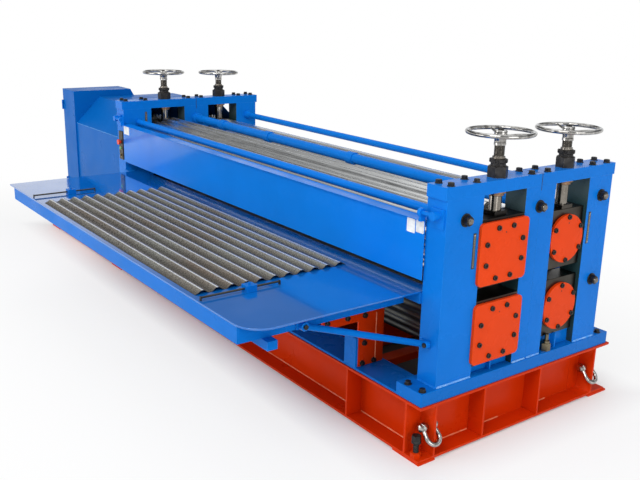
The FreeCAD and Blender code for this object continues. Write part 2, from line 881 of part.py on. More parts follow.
def fluted_tube(z, crest):
    """A tube whose outside is a ring of tangent crest and valley arcs, one crest at angle crest."""
    y, height = S.front_axis.value, z.value
    pitch_radius = S.flute_pitch_radius.value
    half_depth = S.flute_depth.value / 2
    step = 2 * math.pi / FLUTES
    arcs = []
    for index in range(FLUTES):
        middle = crest + index * step
        for centre, radius in ((middle, pitch_radius + half_depth),
                               (middle + step / 2, pitch_radius - half_depth)):
            start = polar(y, height, pitch_radius, centre - step / 4)
            end = polar(y, height, pitch_radius, centre + step / 4)
            arcs.append(Part.Arc(start, polar(y, height, radius, centre), end).toShape())
    face = Part.Face(Part.Wire(arcs))
    span = [as_size(x).value for x in ROLL_SPAN]
    face.translate(Vector(span[0], 0, 0))
    solid = face.extrude(Vector(span[1] - span[0], 0, 0))
    bore = pitch_radius - half_depth - S.roll_wall.value
    hollow = Part.makeCylinder(bore, span[1] - span[0], Vector(span[0], y, height), Vector(1, 0, 0))
    return made(solid.cut(hollow))


def involute(angle):
    return math.tan(angle) - angle


def gear(place, teeth, phase, bore):
    """A spur gear with involute flanks, one tooth centred at angle phase."""
    y, z = place[0].value, place[1].value
    module, teeth = GEAR_MODULE.value, int(teeth.value)
    pressure = math.radians(S.pressure_angle.value)
    pitch_radius = module * teeth / 2
    base_radius = pitch_radius * math.cos(pressure)
    root_radius = pitch_radius - 1.25 * module
    tip_radius = pitch_radius + module
    half_tooth = (math.pi * module - S.gear_backlash.value) / (2 * pitch_radius) / 2
    flank_low = max(root_radius, base_radius)
    flank = [flank_low + (tip_radius - flank_low) * share for share in (0, 0.25, 0.5, 0.75, 1)]
    corners = [(root_radius, half_tooth + involute(pressure))] if root_radius < base_radius else []
    for radius in flank:
        roll_angle = math.acos(min(1, base_radius / radius))
        corners.append((radius, half_tooth + involute(pressure) - involute(roll_angle)))
    points = []
    for index in range(teeth):
        middle = phase + index * 2 * math.pi / teeth
        points += [polar(y, z, radius, middle - offset) for radius, offset in corners]
        points += [polar(y, z, radius, middle + offset) for radius, offset in reversed(corners)]
    start, end = GEAR_SPAN[0].value, GEAR_SPAN[1].value
    face = Part.Face(Part.makePolygon(points + points[:1]))
    face.translate(Vector(start, 0, 0))
    solid = face.extrude(Vector(end - start, 0, 0))
    hole = Part.makeCylinder(bore.value, end - start, Vector(start, y, z), Vector(1, 0, 0))
    return made(solid.cut(hole))


def meshing_phase(phase, teeth, other_teeth, direction):
    """The phase that puts a gap of the other gear on each tooth, across the line of centres."""
    turn = (direction - phase) * teeth.value / other_teeth.value
    return direction + math.pi + turn + math.pi / other_teeth.value


def direction_between(start, end):
    return math.atan2(end[1].value - start[1].value, end[0].value - start[0].value)


FRONT_LOW_PLACE = (S.front_axis, FRONT_LOW)
FRONT_HIGH_PLACE = (S.front_axis, FRONT_HIGH)
REAR_LOW_PLACE = (S.rear_axis, REAR_LOW)
REAR_HIGH_PLACE = (S.rear_axis, REAR_HIGH)
PINION_PLACE = (PINION_Y, PINION_Z)
UP = math.pi / 2
PHASE_FRONT_LOW = UP
PHASE_FRONT_HIGH = meshing_phase(UP, S.gear_teeth_front, S.gear_teeth_front, UP)
PHASE_PINION = meshing_phase(UP, S.gear_teeth_front, S.gear_teeth_pinion,
                             direction_between(FRONT_LOW_PLACE, PINION_PLACE))
PHASE_REAR_LOW = meshing_phase(PHASE_PINION, S.gear_teeth_pinion, S.gear_teeth_rear,
                               direction_between(PINION_PLACE, REAR_LOW_PLACE))
PHASE_REAR_HIGH = meshing_phase(PHASE_REAR_LOW, S.gear_teeth_rear, S.gear_teeth_rear, UP)


def journals(place, tube_bore, face):
    """The end plates and journals of a roll, up to its cover's back; the far one carries the gear."""
    near_plate, far_plate = ROLL_SPAN[1] - S.end_plate, ROLL_SPAN[0] + S.end_plate
    near_end, far_end = face - S.running_clearance, GEAR_SPAN[0]
    radius = S.journal_radius
    near = [(near_plate, 0), (near_end, 0), (near_end, radius), (ROLL_SPAN[1], radius),
            (ROLL_SPAN[1], tube_bore), (near_plate, tube_bore)]
    far = [(far_end, 0), (far_plate, 0), (far_plate, tube_bore), (ROLL_SPAN[0], tube_bore),
           (ROLL_SPAN[0], radius), (far_end, radius)]
    return [turned_x(place, near), turned_x(place, far)]


def front_roll(name, place, crest, phase):
    tube_bore = S.flute_pitch_radius - S.flute_depth / 2 - S.roll_wall
    drive_gear = gear(place, S.gear_teeth_front, phase, S.journal_radius)
    node(name, fluted_tube(place[1], crest), *journals(place, tube_bore, NEAR_OUT), drive_gear)


def rear_roll(name, place, phase):
    tube_bore = SMOOTH_RADIUS - S.roll_wall
    tube = ring("x", place, SMOOTH_RADIUS, tube_bore, ROLL_SPAN)
    drive_gear = gear(place, S.gear_teeth_rear, phase, S.journal_radius)
    node(name, tube, *journals(place, tube_bore, REAR_FACE), drive_gear)


def drive_pinion():
    """The pinion between the two lower gears, on the reducer's output shaft."""
    shaft_end = GEAR_SPAN[0] - S.reducer_gap - S.reducer_length / 2
    shaft = rod("x", PINION_PLACE, S.pinion_bore, (shaft_end, GEAR_SPAN[1]))
    return [gear(PINION_PLACE, S.gear_teeth_pinion, PHASE_PINION, S.pinion_bore), shaft]


# Chocks, covers and screws

def chock(x, y, place, half_height, screw_x=None):
    """A block with the bore for a roll's bearing and, on an upper one, a pocket for its screw."""
    top = place[1] + half_height
    tools = [rod("x", place, S.bearing_radius, x)]
    if screw_x is not None:
        pocket = S.screw_collar_radius + S.slide_clearance
        low = top - S.screw_collar_height - S.running_clearance * 2
        tools.append(rod("z", (screw_x, place[0]), pocket, (low, top)))
    return cut(box(x, y, (place[1] - half_height, top)), *tools)


def bearing(x, place):
    middle = (x[0] + x[1]) / 2
    span = (middle - S.bearing_width / 2, middle + S.bearing_width / 2)
    return ring("x", place, S.bearing_radius, S.journal_radius + S.running_clearance, span)


def retainer(place, top):
    """The plate that keeps a screw's collar in its chock."""
    half = S.retainer_width / 2
    z = (top, top + S.retainer_thick)
    plate = box((place[0] - half, place[0] + half), (place[1] - half, place[1] + half), z)
    return cut(plate, rod("z", place, S.screw_radius + S.running_clearance, z))


def chock_spans(face):
    """Each stand's chock span along x, with the near one flush with the back of its cover."""
    return (((NEAR_IN, face), SCREW_NEAR), (STANDS["far"], SCREW_FAR))


def lower_chocks():
    pieces = []
    for y, place, half, face in ((FRONT_CHOCK, FRONT_LOW_PLACE, S.front_chock_half, FRONT_FACE),
                                 (REAR_CHOCK, REAR_LOW_PLACE, S.rear_chock_half, REAR_FACE)):
        for x, _ in chock_spans(face):
            pieces += [chock(x, y, place, half), bearing(x, place)]
    return pieces


def upper_chocks(y, place, half, face):
    pieces = []
    top = place[1] + half
    for x, screw_x in chock_spans(face):
        pieces += [chock(x, y, place, half, screw_x), bearing(x, place)]
        pieces.append(retainer((screw_x, place[0]), top))
    return pieces


def chock_seats():
    """Blocks under the lower chocks, set back from the stand's outer face behind a rib."""
    near, far = NEAR_OUT - S.seat_inset, FAR_OUT + S.seat_inset
    spans = (((NEAR_IN, near), (near, NEAR_OUT - S.seat_rib_inset)),
             ((far, FAR_IN), (FAR_OUT + S.seat_rib_inset, far)))
    pieces = []
    for block_x, rib_x in spans:
        for y, axis, top in ((FRONT_WINDOW, S.front_axis, FRONT_LOW - S.front_chock_half),
                             (REAR_WINDOW, S.rear_axis, REAR_LOW - S.rear_chock_half)):
            rib_y = (axis - S.seat_rib / 2, axis + S.seat_rib / 2)
            pieces.append(fuse(box(block_x, y, (BAR_TOP, top)), box(rib_x, rib_y, (BAR_TOP, top))))
    return pieces


def square_cover(place):
    """A square plate with rounded corners over a front bearing."""
    x = (FRONT_FACE, FRONT_FACE + S.cover_thick)
    half_y, half_z = S.square_cover_width / 2, S.square_cover_height / 2
    corner = S.square_cover_corner
    y, z = place
    wide = box(x, (y - half_y, y + half_y), (z - half_z + corner, z + half_z - corner))
    tall = box(x, (y - half_y + corner, y + half_y - corner), (z - half_z, z + half_z))
    corners = []
    for side_y in (y - half_y + corner, y + half_y - corner):
        for side_z in (z - half_z + corner, z + half_z - corner):
            corners.append(rod("x", (side_y, side_z), corner, x))
    return fuse(wide, tall, *corners)


def round_cover(place):
    """A disc over a rear bearing, set back between the columns."""
    return rod("x", place, S.round_cover_radius, (REAR_FACE, REAR_FACE + S.cover_thick))


def cover_bolts(place, circle, count, first, face):
    """A circle of socket screws on a cover; first is the angle of the first one."""
    pieces = []
    low = face + S.cover_thick
    high = low + S.cover_bolt_head
    for index in range(count):
        angle = math.radians(first + index * 360 / count)
        y = place[0] + circle / 2 * math.cos(angle)
        z = place[1] + circle / 2 * math.sin(angle)
        head = rod("x", (y, z), S.cover_bolt_radius, (low, high))
        pieces.append(cut(head, hexagon("x", (y, z), S.socket_radius, (high - S.socket_depth, high))))
    return pieces


def square_cover_bolts(place):
    return cover_bolts(place, S.square_cover_bolt_circle, 8, 22.5, FRONT_FACE)


def round_cover_bolts(place):
    return cover_bolts(place, S.round_cover_bolt_circle, 6, 30, REAR_FACE)


def screw(place):
    """A collar in the chock, the threaded length through the cap and nuts, and the spindle."""
    x, y, chock_top, wheel = place
    spindle_top = wheel - S.hub_low
    collar_low = chock_top - S.screw_collar_height - S.running_clearance
    collar_high = chock_top - S.running_clearance
    lock_top = CAP_TOP + S.screw_nut_height + S.lock_nut_gap + S.lock_nut_height
    thread_top = lock_top + S.screw_shoulder
    collar, thread, spindle = S.screw_collar_radius, S.screw_radius, S.spindle_radius
    return turned_z((x, y), [
        (0, collar_low), (collar, collar_low), (collar, collar_high), (thread, collar_high),
        (thread, thread_top), (spindle, thread_top), (spindle, spindle_top), (0, spindle_top),
    ])


def handwheel(place):
    """A hub on the spindle, three spokes and a round rim."""
    x, y, _, wheel = place
    hub = rod("z", (x, y), S.hub_radius, (wheel - S.hub_low, wheel + S.hub_top))
    rim = doc.addObject("Part::Torus", "rim")
    bind(rim, "Radius1", S.wheel_radius)
    bind(rim, "Radius2", S.wheel_rod)
    put(rim, (x, y, wheel))
    spokes = []
    for index in range(3):
        spoke = doc.addObject("Part::Cylinder", "spoke")
        bind(spoke, "Radius", S.spoke_radius)
        bind(spoke, "Height", S.wheel_radius)
        turn = Rotation(Vector(0, 0, 1), index * 120 + 30) * TURN_TO["x"]
        spokes.append(put(spoke, (x, y, wheel), turn))
    return fuse(hub, rim, *spokes)


def screw_nuts():
    """The nut block that stands on each cap, and the lock nut above it."""
    pieces = []
    bore = S.screw_radius + S.running_clearance
    for x, y, _, _ in SCREW_PLACES.values():
        block = (CAP_TOP, CAP_TOP + S.screw_nut_height)
        lock = (block[1] + S.lock_nut_gap, block[1] + S.lock_nut_gap + S.lock_nut_height)
        neck = ring("z", (x, y), S.lock_neck_radius, bore, (block[1], lock[0]))
        nut = cut(hexagon("z", (x, y), S.screw_nut_radius, block), rod("z", (x, y), bore, block))
        pieces += [nut, neck, ring("z", (x, y), S.lock_nut_radius, bore, lock)]
    return pieces


# Guard in front of the rolls

def hinge_line(span):
    return rod("x", (S.guard_hinge_y, S.guard_hinge_height), S.guard_pin_radius, span)


def guard_arm_spans():
    """The x span of the arm at each end of the guard."""
    near, far = GUARD_SPAN[1], GUARD_SPAN[0]
    return (near - S.guard_arm, near), (far, far + S.guard_arm)


def guard_panel():
    """A hanging sheet with a ledge along its top, and an arm at each end that turns on a pin."""
    front = S.guard_back - S.guard_sheet
    panel = box(GUARD_SPAN, (front, S.guard_back), (GUARD_LOW, S.guard_high))
    ledge = box((GUARD_SPAN[0], NEAR_IN - S.guard_ledge_gap),
                (S.guard_back - S.guard_lip, S.guard_back + S.guard_ledge),
                (S.guard_high - S.guard_sheet, S.guard_high))
    eye = (S.guard_hinge_y, S.guard_hinge_height)
    pieces = [panel, ledge]
    for span in guard_arm_spans():
        pieces.append(rod("x", eye, S.guard_eye_radius, span))
        arm_y = (eye[0] - S.guard_arm / 2, S.guard_back)
        pieces.append(box(span, arm_y, (S.guard_high - S.guard_sheet, eye[1])))
    hole = S.guard_pin_radius + S.running_clearance
    return cut(fuse(*pieces), *[rod("x", eye, hole, span) for span in guard_arm_spans()])


def guard_brackets():
    """A plate on each front column with a boss and the pin that the guard turns on."""
    pieces = []
    near_plate = NEAR_OUT - S.bracket_plate_inset
    far_plate = FAR_OUT + S.bracket_plate_inset
    near_boss, far_boss = NEAR_OUT - S.guard_boss_inset, FAR_OUT + S.guard_boss_inset
    near_arm, far_arm = guard_arm_spans()
    for plate_x, boss_x, pin in (
        ((near_plate - S.bracket_plate_width, near_plate), near_boss, (near_arm[0], near_boss)),
        ((far_plate, far_plate + S.bracket_plate_width), far_boss, (far_boss, far_arm[1])),
    ):
        front = S.column_front - S.bracket_plate_thick
        z = (S.bracket_plate_low, S.bracket_plate_low + S.bracket_plate_height)
        plate = box(plate_x, (front, S.column_front), z)
        boss_y = (S.guard_hinge_y - S.guard_pin_radius - S.bracket_plate_thick / 2, front)
        boss = rod("y", (boss_x, S.guard_hinge_height), S.guard_eye_radius, boss_y)
        pieces.append(fuse(plate, boss, hinge_line(pin)))
    return pieces


# Delivery table

def table_top():
    """A sheet with a round near corner and a slightly rounded far one on its front edge."""
    z = (TABLE_UNDER, S.table_height)
    near, far = S.table_corner, S.table_far_corner
    back = box((TABLE_FAR, TABLE_NEAR), (S.table_front + near, S.table_back), z)
    strip = box((TABLE_FAR, TABLE_NEAR - near), (S.table_front + far, S.table_front + near), z)
    front = box((TABLE_FAR + far, TABLE_NEAR - near), (S.table_front, S.table_front + far), z)
    near_round = rod("z", (TABLE_NEAR - near, S.table_front + near), near, z)
    far_round = rod("z", (TABLE_FAR + far, S.table_front + far), far, z)
    return fuse(back, strip, front, near_round, far_round)


def strut(rim_x, foot_x, side):
    """A round tube from the rim to the front column, with a flat plate bolted on at each end."""
    plate, half, offset = S.strut_plate, S.strut_end, S.strut_offset
    top_z = TABLE_UNDER - S.strut_top_height
    top = (rim_x + side * offset, S.strut_top_y, top_z)
    foot = (foot_x, S.column_front - offset, S.strut_foot_height)
    start, end = (Vector(*[as_size(value).value for value in point]) for point in (top, foot))
    tube = made(Part.makeCylinder(S.strut_radius.value, (end - start).Length, start, end - start))
    x = (rim_x, rim_x + plate) if side > 0 else (rim_x - plate, rim_x)
    top_plate = box(x, (S.strut_top_y - half, S.strut_top_y + half), (top_z - plate * 2, top_z + plate * 2))
    top_boss = rod("x", (S.strut_top_y, top_z), S.strut_radius,
                   (rim_x, top[0]) if side > 0 else (top[0], rim_x))
    foot_plate = box((foot_x - half, foot_x + half), (S.column_front - plate, S.column_front),
                     (S.strut_foot_height - plate * 2, S.strut_foot_height + plate * 2))
    foot_boss = rod("y", (foot_x, S.strut_foot_height), S.strut_radius, (foot[1], S.column_front))
    return fuse(tube, top_plate, top_boss, foot_plate, foot_boss)


def table_frame():
    """The rims under the table, the bar that carries its back edge, and the struts."""
    front = S.table_front + S.rim_front_inset
    rim_z = (TABLE_UNDER - S.rim_height, TABLE_UNDER)
    side_y = (front + S.rim_thick, S.rim_back)
    pieces = [
        box((RIM_FAR, RIM_NEAR), (front, front + S.rim_thick), rim_z),
        box((RIM_NEAR - S.rim_thick, RIM_NEAR), side_y, rim_z),
        box((RIM_FAR, RIM_FAR + S.rim_thick), side_y, rim_z),
    ]
    rear_y = (S.rim_back, S.rim_back + S.table_bar)
    pieces.append(box((FAR_IN, NEAR_IN), rear_y, (TABLE_UNDER - S.table_bar, TABLE_UNDER)))
    half = S.table_bar / 2
    bar_z = (rim_z[0] - S.front_bar_height, rim_z[0])
    pieces.append(box((RIM_FAR - S.front_bar_out, RIM_NEAR + S.front_bar_out),
                      (S.front_bar_y - half, S.front_bar_y + half), bar_z))
    step = (RIM_NEAR - RIM_FAR) / 4
    for index in (1, 2, 3):
        x = RIM_FAR + step * index
        pieces.append(box((x - S.rim_thick / 2, x + S.rim_thick / 2), side_y, rim_z))
    pieces.append(strut(RIM_NEAR, NEAR_OUT - S.strut_foot_x, 1))
    pieces.append(strut(RIM_FAR, FAR_OUT + S.strut_foot_x, -1))
    return pieces


GUIDE_PLACES = {"near": TABLE_NEAR - S.near_guide_x, "far": TABLE_FAR + S.far_guide_x}


def guide_rods():
    """A rod along y near each end of the table, between two short posts."""
    pieces = []
    z = S.table_height + S.guide_rod_height
    front, back, post = S.table_front + S.guide_rod_front, S.guide_rod_back, S.guide_post
    for x in GUIDE_PLACES.values():
        pieces.append(rod("y", (x, z), S.guide_rod_radius, (front + post, back - post)))
        for low in (front, back - post):
            pieces.append(box((x - post, x + post), (low, low + post), (S.table_height, z + post)))
    return pieces


def guide_block(x):
    """A stop that slides on the rod, with a knob that clamps it."""
    half_x, half_y = S.guide_block_width / 2, S.guide_block_length / 2
    y = (S.guide_block_y - half_y, S.guide_block_y + half_y)
    top = S.table_height + S.guide_block_top
    block = box((x - half_x, x + half_x), y, (S.table_height + S.slide_clearance, top))
    bore_radius = S.guide_rod_radius + S.running_clearance
    bore = rod("y", (x, S.table_height + S.guide_rod_height), bore_radius, y)
    knob = rod("z", (x, S.guide_block_y), S.knob_radius, (top, top + S.knob_height))
    return [cut(block, bore), knob]


def corrugated_sheet():
    """A finished sheet on the table: arcs through each valley and crest, with a constant rise."""
    pitch, rise = S.sheet_pitch.value, S.sheet_depth.value - S.sheet_thick.value
    low = S.table_height.value
    first = (S.table_front + S.sheet_first_crest).value - pitch / 2
    waves = int(S.sheet_waves.value)

    def point(quarter, lift):
        height = (0, 0.5, 1, 0.5)[quarter % 4] * rise
        return Vector(0, first + quarter * pitch / 4, low + height + lift)

    def curve(lift):
        edges = [Part.makeLine(point(0, lift), point(1, lift))]
        for quarter in range(1, waves * 4 - 1, 2):
            arc = Part.Arc(point(quarter, lift), point(quarter + 1, lift), point(quarter + 2, lift))
            edges.append(arc.toShape())
        edges.append(Part.makeLine(point(waves * 4 - 1, lift), point(waves * 4, lift)))
        return edges

    thick = S.sheet_thick.value
    ends = [Part.makeLine(point(quarter, 0), point(quarter, thick)) for quarter in (0, waves * 4)]
    face = Part.Face(Part.Wire(Part.__sortEdges__(curve(0) + curve(thick) + ends)))
    face.translate(Vector((TABLE_NEAR - S.sheet_near - S.sheet_length).value, 0, 0))
    return made(face.extrude(Vector(S.sheet_length.value, 0, 0)))


# Gear cover, cabinet and drive

def gear_cover():
    """A sheet cover with sloped shoulders, open towards the stand and the base."""
    front, rear, thick = S.column_front, S.gear_cover_rear, S.gear_cover_sheet
    low, shoulder, high = BASE_TOP, S.gear_cover_shoulder, S.gear_cover_height
    slope, inset = high - shoulder, thick * math.tan(math.pi / 8)
    start = CABINET_NEAR + S.door_gap
    outer = [(front, low), (front, shoulder), (front + slope, high), (rear - slope, high),
             (rear, shoulder), (rear, low)]
    inner = [(front + thick, low), (front + thick, shoulder - inset), (front + slope + inset, high - thick),
             (rear - slope - inset, high - thick), (rear - thick, shoulder - inset), (rear - thick, low)]
    return cut(bar(outer, (start, FAR_OUT)), bar(inner, (start + thick, FAR_OUT)))


def cabinet_outline(inset, low):
    """The cabinet's upright section, with its sloped back, drawn in by inset."""
    return [
        (S.cabinet_front + inset, low), (S.cabinet_front + inset, S.cabinet_height - inset),
        (S.cabinet_top_back - inset, S.cabinet_height - inset),
        (S.cabinet_back - inset, S.cabinet_slope_height - inset / 2), (S.cabinet_back - inset, low),
    ]


def hinge_lines():
    """Where the cabinet door's hinge stands, and the low end of each of its two hinges."""
    return (CABINET_FAR - S.door_thick / 2, S.cabinet_front - S.hinge_offset), (S.hinge_low, S.hinge_high)


def cabinet_shell():
    """A box open to the door, with a mounting plate inside and the fixed halves of the hinges."""
    thick = S.cabinet_sheet
    outer = bar(cabinet_outline(as_size(0), BASE_TOP), (CABINET_FAR, CABINET_NEAR))
    inner = bar(cabinet_outline(thick, BASE_TOP + thick), (CABINET_FAR, CABINET_NEAR - thick))
    centre, lows = hinge_lines()
    pieces = [cut(outer, inner)]
    plate_margin = S.door_thick * 2
    pieces.append(box((CABINET_NEAR - thick * 2, CABINET_NEAR - thick),
                      (S.cabinet_front + plate_margin, S.cabinet_top_back - plate_margin),
                      (BASE_TOP + plate_margin, S.cabinet_height - plate_margin)))
    for low in lows:
        z = (low, low + S.hinge_knuckle)
        knuckle = rod("z", centre, S.hinge_radius, z)
        pin = rod("z", centre, S.hinge_pin, (low, low + S.hinge_knuckle * 2))
        leaf_x = (centre[0], CABINET_FAR + S.door_thick)
        leaf = box(leaf_x, (S.cabinet_front - S.cabinet_sheet, S.cabinet_front), z)
        arm = box((centre[0], centre[0] + S.cabinet_sheet), (centre[1], S.cabinet_front), z)
        pieces.append(fuse(knuckle, pin, leaf, arm))
    return pieces


def cabinet_door():
    """A plate over the cabinet's far side, with the moving halves of its hinges and a lock."""
    centre, lows = hinge_lines()
    span = (CABINET_FAR - S.door_gap - S.door_thick, CABINET_FAR - S.door_gap)
    pieces = [bar(cabinet_outline(as_size(0), BASE_TOP + S.door_floor_gap), span)]
    for low in lows:
        z = (low + S.hinge_knuckle + S.door_gap, low + S.hinge_knuckle * 2)
        pieces.append(rod("z", centre, S.hinge_radius, z))
        x = (centre[0] - S.hinge_pin, centre[0] + S.hinge_pin)
        pieces.append(box(x, (centre[1], S.cabinet_front), z))
    lock_z = (BASE_TOP + S.cabinet_slope_height) / 2
    pieces.append(rod("x", (S.cabinet_back - S.door_lock_inset, lock_z), S.door_lock_radius,
                      (span[0] - S.door_lock_out, span[0])))
    pin_hole = S.hinge_pin + S.running_clearance
    holes = [rod("z", centre, pin_hole, (low, low + S.hinge_knuckle * 2 + S.door_gap)) for low in lows]
    return cut(fuse(*pieces), *holes)


def geared_motor():
    """The reducer with the bore for the pinion's shaft, the motor behind it and its fan cover."""
    half = S.reducer_size / 2
    near = GEAR_SPAN[0] - S.reducer_gap
    far = near - S.reducer_length
    y, z = (PINION_Y - half, PINION_Y + half), (PINION_Z - half, PINION_Z + half)
    bore = rod("x", PINION_PLACE, S.pinion_bore + S.running_clearance, (near - S.reducer_length / 2, near))
    motor_end = far - S.motor_length
    terminal = S.motor_radius / 2
    top = PINION_Z + S.motor_radius + terminal
    return [
        cut(box((far, near), y, z), bore),
        fuse(rod("x", PINION_PLACE, S.motor_radius, (motor_end, far)),
             box((far - S.motor_length / 2 - terminal, far - S.motor_length / 2 + terminal),
                 (PINION_Y - terminal, PINION_Y + terminal), (PINION_Z, top))),
        rod("x", PINION_PLACE, S.fan_cover_radius, (motor_end - S.fan_cover_length, motor_end)),
    ]


def drive_plinth():
    """Two bars across the long beams that carry the reducer."""
    near = GEAR_SPAN[0] - S.reducer_gap
    far = near - S.reducer_length
    margin = S.gear_cover_sheet + S.plinth_margin
    y = (S.column_front + margin, S.gear_cover_rear - margin)
    z = (BASE_TOP, PINION_Z - S.reducer_size / 2)
    return [box(x, y, z) for x in ((far, far + S.plinth_width), (near - S.plinth_width, near))]


# Push-button station

def station_face():
    return S.column_front - S.station_proud


def station_case(room):
    """The outside of the station's case, grown by room on the sides and at the back."""
    high_x = FAR_IN - S.station_inset
    return box((high_x - S.station_width - room, high_x + room),
               (station_face(), station_face() + S.station_depth + room),
               (S.station_low - room, S.station_low + S.station_height + room))


def station_centre():
    return FAR_IN - S.station_inset - S.station_width / 2


def button_height(share):
    return S.station_low + S.station_height * share


def station_box():
    """The station's case with a hole for each button."""
    holes = []
    for share in BUTTON_SHARES.values():
        hole = S.button_radius + S.slide_clearance
        depth = (station_face(), station_face() + S.station_depth / 2 + S.button_travel * 2)
        holes.append(rod("y", (station_centre(), button_height(share)), hole, depth))
    return cut(station_case(as_size(0)), *holes)


BUTTON_SHARES = {"emergency_stop": 0.62, "forward_button": 0.4, "reverse_button": 0.15}


def button(name):
    """A push button that slides into the case; the emergency stop has a wide head."""
    centre = (station_centre(), button_height(BUTTON_SHARES[name]))
    face = station_face()
    stem = rod("y", centre, S.button_radius, (face - S.button_out, face + S.station_depth / 2))
    if name != "emergency_stop":
        return stem
    return fuse(stem, rod("y", centre, S.stop_radius, (face - S.stop_out, face - S.button_out)))


# Lifting shackles

def shackle(place):
    """A bow and its pin, leaning so that the bow rests on the edge of the beam's web."""
    pin_x, pin_y, side = place[0].value, place[1].value, place[2]
    half, rod_radius, bow_radius = S.shackle_half_width.value, S.shackle_rod.value, S.shackle_bow.value
    leg = S.shackle_reach.value - bow_radius
    eye_radius, pin_radius = S.shackle_eye.value, S.shackle_pin.value
    across = Vector(0, 1, 0)
    section = Part.Face(Part.Wire(Part.makeCircle(rod_radius, Vector(0, bow_radius, -leg), Vector(0, 0, 1))))
    crown = section.revolve(Vector(0, 0, -leg), Vector(-1, 0, 0), 180)
    parts = []
    for sign in (-1, 1):
        low, high = Vector(0, sign * bow_radius, -leg), Vector(0, sign * half, 0)
        parts.append(Part.makeCylinder(rod_radius, (high - low).Length, low, high - low))
        parts.append(Part.makeSphere(rod_radius, low))
        eye_start = Vector(0, sign * half - rod_radius, 0)
        parts.append(Part.makeCylinder(eye_radius, rod_radius * 2, eye_start, across))
    reach = half + rod_radius
    pin = Part.makeCylinder(pin_radius, reach * 2, Vector(0, -reach, 0), across)
    bow = crown.multiFuse(parts).cut(pin).removeSplitter()
    angle = math.degrees(math.asin(SHACKLE_LEAN.value / S.shackle_reach.value))
    turn = Placement(Vector(pin_x, pin_y, S.shackle_height.value), Rotation(Vector(0, 1, 0), -side * angle))
    pieces = []
    for shape in (bow, pin):
        piece = made(shape)
        piece.Placement = turn
        pieces.append(piece)
    return pieces


# Every sub-part by name

node("long_beams", long_beam(as_size(0), FRONT_WEB, bolt_lines()[0]),
     long_beam(S.base_width - S.beam_flange, REAR_WEB, bolt_lines()[1]))
node("cross_beams", *[cross_beam(centre) for centre in cross_places()], *support_bars())
node("beam_ribs", *ribs())
node("foot_plates", *foot_plates())
node("levelling_bolts", *levelling_bolts())
node("sill_plates", *sills())
node("centre_supports", *centre_supports())
node("base_bars", *base_bars())
node("columns", *columns())
node("caps", *caps())
node("frame_bolts", *frame_bolts())
node("tie_rods", *tie_rods())
node("tie_studs", *tie_studs())
node("tie_nuts", *tie_nuts())
node("chock_seats", *chock_seats())
node("lower_chocks", *lower_chocks())
node("front_upper_chocks", *upper_chocks(FRONT_CHOCK, FRONT_HIGH_PLACE, S.front_chock_half, FRONT_FACE))
node("rear_upper_chocks", *upper_chocks(REAR_CHOCK, REAR_HIGH_PLACE, S.rear_chock_half, REAR_FACE))
front_roll("front_lower_roll", FRONT_LOW_PLACE, UP, PHASE_FRONT_LOW)
front_roll("front_upper_roll", FRONT_HIGH_PLACE, -UP + math.pi / FLUTES, PHASE_FRONT_HIGH)
rear_roll("rear_lower_roll", REAR_LOW_PLACE, PHASE_REAR_LOW)
rear_roll("rear_upper_roll", REAR_HIGH_PLACE, PHASE_REAR_HIGH)
node("drive_pinion", *drive_pinion())
node("square_cover_lower", square_cover(FRONT_LOW_PLACE))
node("square_cover_upper", square_cover(FRONT_HIGH_PLACE))
node("round_cover_lower", round_cover(REAR_LOW_PLACE))
node("round_cover_upper", round_cover(REAR_HIGH_PLACE))
node("lower_cover_bolts", *square_cover_bolts(FRONT_LOW_PLACE), *round_cover_bolts(REAR_LOW_PLACE))
node("square_cover_bolts", *square_cover_bolts(FRONT_HIGH_PLACE))
node("round_cover_bolts", *round_cover_bolts(REAR_HIGH_PLACE))
node("screw_nuts", *screw_nuts())
for side, place in SCREW_PLACES.items():
    node("screw_" + side, screw(place))
    node("handwheel_" + side, handwheel(place))
node("guard_panel", guard_panel())
node("guard_brackets", *guard_brackets())
node("table_top", table_top())
node("table_frame", *table_frame())
node("guide_rods", *guide_rods())
node("guide_block_near", *guide_block(GUIDE_PLACES["near"]))
node("guide_block_far", *guide_block(GUIDE_PLACES["far"]))
node("corrugated_sheet", corrugated_sheet())
node("gear_cover", gear_cover())
node("geared_motor", *geared_motor())
node("drive_plinth", *drive_plinth())
node("cabinet_shell", *cabinet_shell())
node("cabinet_door", cabinet_door())
node("station_box", station_box())
for name in BUTTON_SHARES:
    node(name, button(name))
for corner, place in shackle_places().items():
    node("shackle_" + corner, *shackle(place))

doc.recompute()
for item in doc.Objects:
    if {"Invalid", "Error"} & set(item.State):
        raise ValueError("%s (%s) did not compute" % (item.Label, item.Name))
for item in NODES:
    if item.Shape.isNull() or not item.Shape.isValid():
        raise ValueError("%s has no sound shape" % item.Label)
os.makedirs("parts", exist_ok=True)
for item in NODES:
    item.Shape.exportStep("parts/%s.step" % item.Label)
